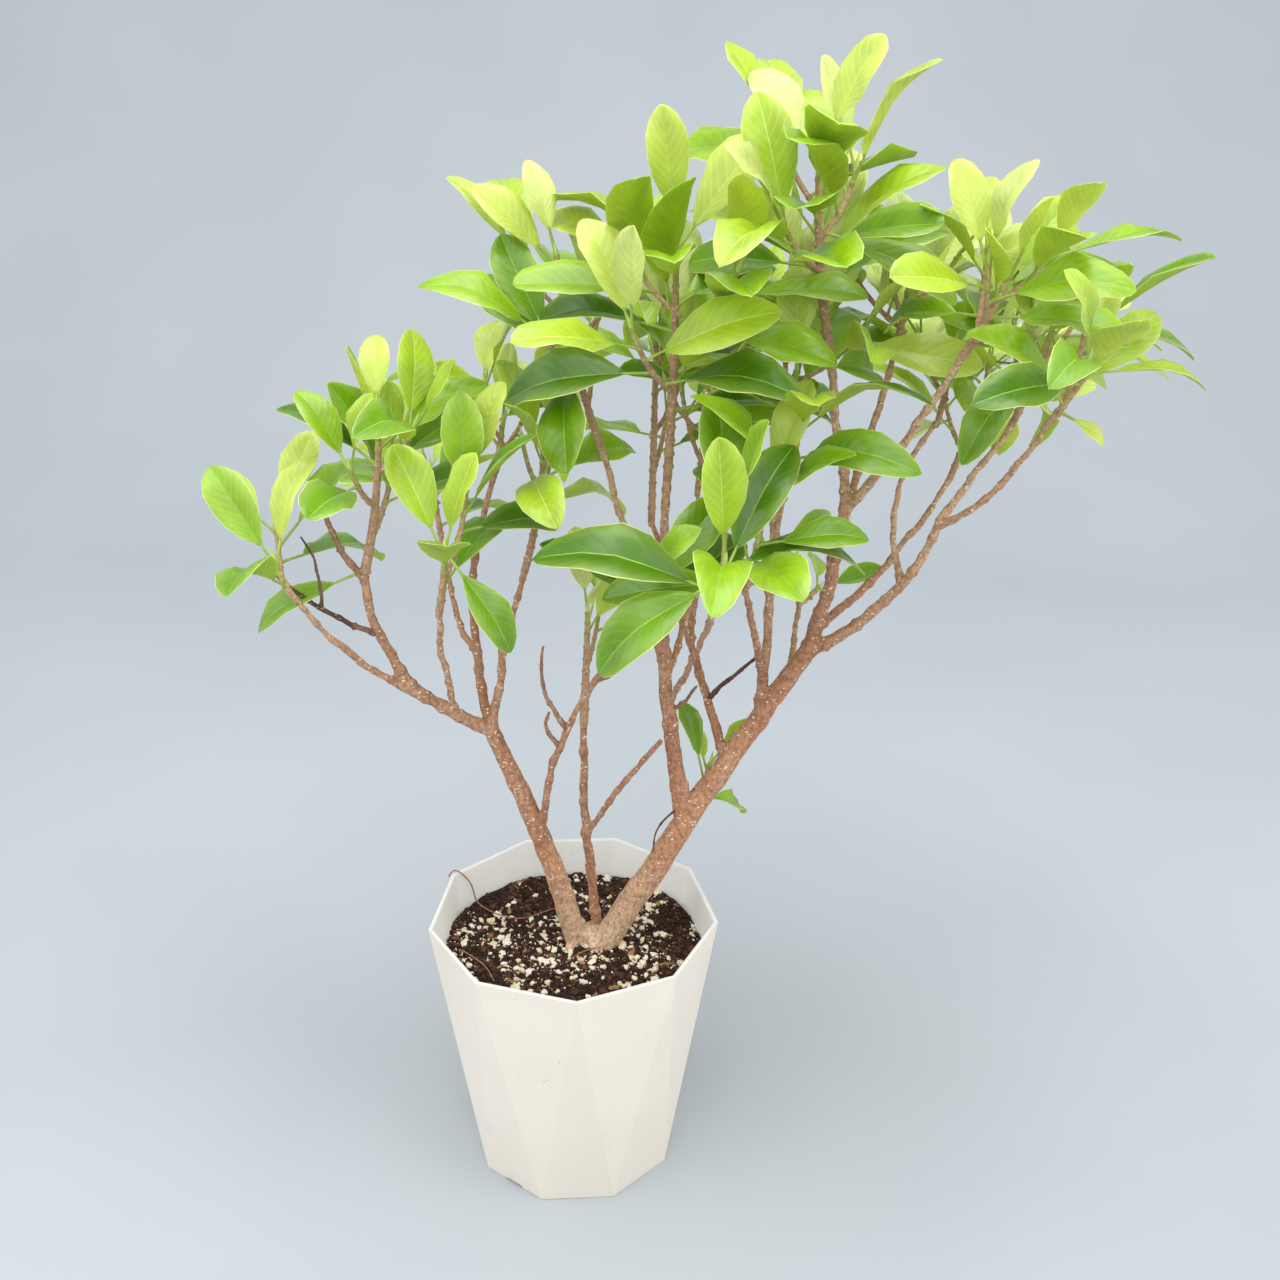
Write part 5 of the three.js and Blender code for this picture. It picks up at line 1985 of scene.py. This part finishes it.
@dataclass
class Foliage:
    """All leaf blades as one piece: a folded top with pale rib and margin, and a plain underside."""

    plant: Plant
    rows: tuple[float, ...] = (0, 0.05, 0.17, 0.35, 0.55, 0.75, 0.9, 0.975, 1)
    columns: tuple[float, ...] = (-1, -0.97, -0.5, -0.026, 0.026, 0.5, 0.97, 1)
    outline: Pair = (0.84, 0.6)
    thickness: float = 0.55
    least_half: float = 0.7
    least_taper: float = 0.4
    arch: float = 0.16
    unfolding: float = 0.5
    ripple: float = 0.18
    ripple_range: Pair = (0.7, 0.5)
    ripple_waves: float = 1.6
    ripple_skew: float = 1.3
    lean: float = 0.5
    lean_share: float = 0.5
    curl: float = 0.1
    curl_range: Pair = (0.8, 1.2)
    curl_band: Pair = (0.5, 1)
    curled_share: float = 0.3
    strong_curl: float = 0.2
    first_year: float = 0.6
    year_step: float = 0.85
    year_spread: float = 0.8
    old_rib: int = 3
    under_roughness: float = 0.5
    line_roughness: float = 0.4
    seed: int = 71

    def blade(self, leaf: Leaf, chance: Chance) -> Vec:
        """Points of a blade: its top by rows and columns, then the middle line of its underside.

        Args:
            leaf: The leaf.
            chance: Chance for its own curl and ripple.

        Returns:
            Points, one a row, in millimetres.
        """
        curl = self.curl * chance.around(*self.curl_range)
        if chance.share() < self.curled_share:
            curl += self.strong_curl
        ripple = self.ripple * chance.around(*self.ripple_range)
        phase = chance.share()
        lean = chance.around(0, self.lean)
        share = np.array(self.rows)[:, None, None]
        across = np.array(self.columns)[None, :, None]
        half = half_breadth(leaf.width, share, self.outline)
        half = np.maximum(half, self.least_half * (1 - self.least_taper * share))
        normal = unit(leaf.face + leaf.along * (2 * leaf.drop * share))
        bent = leaf.drop * share ** 2 + curl * share_of(share, self.curl_band) ** 2
        centre = leaf.base + leaf.along * (leaf.length * share) - leaf.face * (leaf.length * bent)
        reach = across * half
        out = np.abs(across)
        wave = np.sin(2 * math.pi * (self.ripple_waves * share + phase) + across * self.ripple_skew)
        height = np.abs(reach) * math.sin(leaf.fold) * (1 - self.unfolding * share ** 3)
        height = height + half * (self.arch * 4 * out * (1 - out) + ripple * wave * out ** 2)
        height = height + lean * reach * share * self.lean_share
        top = centre + leaf.side * (reach * math.cos(leaf.fold)) + normal * height
        low = (centre - normal * self.thickness)[:, 0]
        return np.vstack([top.reshape(-1, 3), low])

    def faces(self) -> tuple[list[tuple[int, ...]], list[BladePart]]:
        """Faces of one blade and the part of the leaf that each belongs to.

        Returns:
            Numbers of the corners of each face, and its part.
        """
        width, last = len(self.columns), len(self.rows) - 1
        low = width * len(self.rows)
        across = [BladePart.TOP] * (width - 1)
        across[width // 2 - 1] = BladePart.RIB
        across[0] = across[-1] = BladePart.MARGIN
        faces: list[tuple[int, ...]] = []
        parts: list[BladePart] = []
        for row in range(last):
            left, right, middle = row * width, row * width + width - 1, low + row
            for corner in range(left, right):
                faces.append((corner, corner + 1, corner + width + 1, corner + width))
            faces.append((left, left + width, middle + 1, middle))
            faces.append((middle, middle + 1, right + width, right))
            parts += [*across, BladePart.UNDER, BladePart.UNDER]
        faces.append((*reversed(range(width)), low))
        faces.append((*range(last * width, (last + 1) * width), low + last))
        parts += [BladePart.MARGIN, BladePart.MARGIN]
        return faces, parts

    def tones(self, leaf: Leaf, bough: dict[int, float], chance: Chance) -> dict[BladePart, int]:
        """Material numbers of a leaf's parts.

        Args:
            leaf: The leaf.
            bough: How much older or younger the leaves of each shoot look, partly as painted shade.
            chance: Chance for the leaf's own tone.

        Returns:
            A number for each part.
        """
        # Leaf age plus the shoot's offset, which is partly painted shade, picks the tone.
        age_and_shade = self.year_step * leaf.age + self.first_year + bough[leaf.shoot]
        age_and_shade += chance.around(0, self.year_spread)
        top = int(min(len(LeafTone) - 1, max(0, round(age_and_shade))))
        under = len(LeafTone) + min(len(UnderToneWithPaintedLight) - 1, top // 2)
        rib = len(LeafTone) + len(UnderToneWithPaintedLight) + int(top >= self.old_rib)
        margin = len(LeafTone) + len(UnderToneWithPaintedLight) + len(LineTone) - 1
        return {BladePart.TOP: top, BladePart.UNDER: under, BladePart.RIB: rib, BladePart.MARGIN: margin}

    def finishes(self) -> list[LeafFinish]:
        """Finishes in the order of the material numbers.

        Returns:
            Tops, undersides and lines.
        """
        tops = [LeafFinish(f"leaf_{each.name.lower()}", tone(*each.value)) for each in LeafTone]
        # Undersides are painted light: brighter and yellower than their own colour.
        unders = [LeafFinish(f"under_{each.name.lower()}", tone(*each.value), self.under_roughness, 0)
                  for each in UnderToneWithPaintedLight]
        lines = [LeafFinish(each.name.lower(), tone(*each.value), self.line_roughness) for each in LineTone]
        return [*tops, *unders, *lines]

    def build(self) -> None:
        """Show all leaves."""
        chance = Chance(self.seed)
        spread = self.year_spread
        bough = {number: chance.around(age_and_shade, spread) for number, age_and_shade in enumerate(self.plant.age_and_shade)}
        pattern, parts = self.faces()
        points, faces, numbers = [], [], []
        for count, leaf in enumerate(self.plant.leaves):
            blade = self.blade(leaf, chance)
            tones = self.tones(leaf, bough, chance)
            points.append(blade)
            faces += [tuple(corner + count * len(blade) for corner in face) for face in pattern]
            numbers += [tones[part] for part in parts]
        mesh = bpy.data.meshes.new("leaf_blades")
        mesh.from_pydata((np.vstack(points) * MM).tolist(), [], faces)
        mesh.polygons.foreach_set("material_index", np.array(numbers, dtype=np.int32))
        self.lay_out(mesh, len(points[0]))
        nodes = [mass.name for mass in MASSES]
        present(smooth(mesh), "leaf_blades", self.finishes(), nodes)

    def lay_out(self, mesh: bpy.types.Mesh, each: int) -> None:
        """Keep the blades' edges crisp, and lay length and breadth of each blade out flat for its veins.

        Args:
            mesh: The blades.
            each: Points to a blade.
        """
        width = len(self.columns)
        flat = [(share, 0.5 + across / 2) for share in self.rows for across in self.columns]
        flat += [(share, 0.5) for share in self.rows]
        corners = np.empty(len(mesh.loops), dtype=np.int32)
        mesh.loops.foreach_get("vertex_index", corners)
        layer = mesh.uv_layers.new(name=BLADE_MAP)
        layer.uv.foreach_set("vector", np.array(flat)[corners % each].ravel())
        ends = np.empty(len(mesh.edges) * 2, dtype=np.int32)
        mesh.edges.foreach_get("vertices", ends)
        ends = ends.reshape(-1, 2) % each
        column = ends % width
        blade_rim = (column[:, 0] == column[:, 1]) & np.isin(column[:, 0], (0, width - 1))
        blade_rim &= np.all(ends < width * len(self.rows), axis=1)
        mesh.attributes.new("sharp_edge", "BOOLEAN", "EDGE").data.foreach_set("value", blade_rim)


@dataclass(frozen=True)
class FloorFinish:
    """Pale studio floor with barely seen clouds."""

    name: str = "pale_floor"
    first: Colour = tone(186, 193, 199)
    second: Colour = tone(180, 188, 194)
    clouds: Clouds = Clouds(3, band=(0.3, 0.7))
    roughness: float = 0.8
    specular: float = 0.2

    def material(self) -> bpy.types.Material:
        """Make the material.

        Returns:
            The material.
        """
        sheet = NodeSheet(self.name)
        colour = sheet.mix(sheet.patches(self.clouds), self.first, self.second)
        return sheet.surface(colour, self.roughness, self.specular)


@dataclass(frozen=True)
class Lamp:
    """A square soft lamp: its place and side in metres, its power in watts and the colour of its light."""

    name: str
    place: Point
    side: float
    power: float
    colour: Point


@dataclass
class Studio:
    """Pale floor that sweeps up behind, soft lamps, and the camera; floor and lamps in metres."""

    camera_place: Point = (39.07, -723.74, 676.16)
    pitch: float = 23.70
    roll: float = 0.749
    lens: float = 39.095
    sensor: float = 36.0
    nearest: float = 0.02
    wide: float = 6.0
    front: float = -3.0
    back: float = 1.9
    tall: float = 3.0
    sweep_radius: float = 0.9
    sweep_steps: int = 24
    air: Colour = (0.99, 0.99, 1.0, 1.0)
    air_strength: float = 0.74
    aim: Point = (0.02, 0, 0.4)
    lamps: tuple[Lamp, ...] = (
        Lamp("key_lamp", (-0.9, -1.4, 2.1), 1.4, 8, (1.0, 0.97, 0.92)),
        Lamp("left_lamp", (-1.7, -0.5, 1.1), 1.4, 8, (1.0, 0.98, 0.96)),
        Lamp("right_lamp", (1.7, -0.7, 1.2), 1.6, 12, (1.0, 0.98, 0.96)),
        Lamp("front_lamp", (0.15, -1.5, 1.3), 0.9, 5, (1.0, 0.98, 0.95)),
        Lamp("top_lamp", (0.1, -0.2, 2.2), 1.6, 26, (1.0, 1.0, 0.98)),
    )

    def floor(self) -> None:
        """Lay the floor and its swept back as one sheet."""
        bm = bmesh.new()
        half = self.wide / 2
        edge = [bm.verts.new((x, self.front, 0)) for x in (-half, half)]
        moved = self.extrude(bm, [bm.edges.new(edge)], (0, self.back - self.front - self.sweep_radius, 0))
        centre = (0, self.back - self.sweep_radius, self.sweep_radius)
        turned = bmesh.ops.spin(bm, geom=moved, cent=centre, axis=(1, 0, 0), angle=math.pi / 2,
                                steps=self.sweep_steps)
        last = of_kind(turned["geom_last"], bmesh.types.BMEdge)
        self.extrude(bm, last, (0, 0, self.tall - self.sweep_radius))
        bmesh.ops.recalc_face_normals(bm, faces=bm.faces)
        mesh = smooth(finished(bm, "studio_floor"))
        mesh.materials.append(FloorFinish().material())
        floor = linked("studio_floor", mesh)

    def extrude(self, bm: bmesh.types.BMesh, edges: list[Any], move: Point) -> list[Any]:
        """Draw edges out into a sheet.

        Args:
            bm: Where they are.
            edges: The edges.
            move: How far they go.

        Returns:
            The new end of the sheet.
        """
        drawn = bmesh.ops.extrude_edge_only(bm, edges=edges)["geom"]
        corners = of_kind(drawn, bmesh.types.BMVert)
        bmesh.ops.translate(bm, verts=corners, vec=move)
        return corners + of_kind(drawn, bmesh.types.BMEdge)

    def hang(self, lamp: Lamp) -> None:
        """Hang a lamp that faces the middle of the crown.

        Args:
            lamp: The lamp.
        """
        light = bpy.data.lights.new(lamp.name, "AREA")
        light.size = lamp.side
        light.energy = lamp.power
        light.color = lamp.colour
        turn = (Vector(self.aim) - Vector(lamp.place)).to_track_quat("-Z", "Y").to_matrix().to_4x4()
        linked(lamp.name, light).matrix_world = Matrix.Translation(lamp.place) @ turn

    def camera(self) -> None:
        """Set the camera where the photograph was taken from."""
        data = bpy.data.cameras.new("view")
        data.lens = self.lens
        data.sensor_width = self.sensor
        data.clip_start = self.nearest
        nod = Matrix.Rotation(math.radians(90 - self.pitch), 4, "X")
        roll = Matrix.Rotation(math.radians(self.roll), 4, "Z")
        holder = linked("view", data)
        holder.matrix_world = Matrix.Translation(Vector(self.camera_place) * MM) @ nod @ roll
        bpy.context.scene.camera = holder

    def build(self) -> None:
        """Set up floor, camera, air and lamps."""
        self.floor()
        self.camera()
        world = bpy.data.worlds.new("studio_air")
        world.use_nodes = True
        air = world.node_tree.nodes["Background"]
        air.inputs["Color"].default_value = self.air
        air.inputs["Strength"].default_value = self.air_strength
        bpy.context.scene.world = world
        bpy.context.scene.view_settings.view_transform = "Standard"
        for lamp in self.lamps:
            self.hang(lamp)


def main() -> None:
    """Build every sub-assembly in order."""
    logging.basicConfig(level=logging.INFO, format="%(message)s")
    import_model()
    plant = Plant()
    LOG.info("grown: %d shoots, %d leaves", len(plant.shoots), len(plant.leaves))
    for part in (Pot(), Soil(), Wood(plant), Shoots(plant), Foliage(plant), Studio()):
        part.build()


if __name__ == "__main__":
    main()
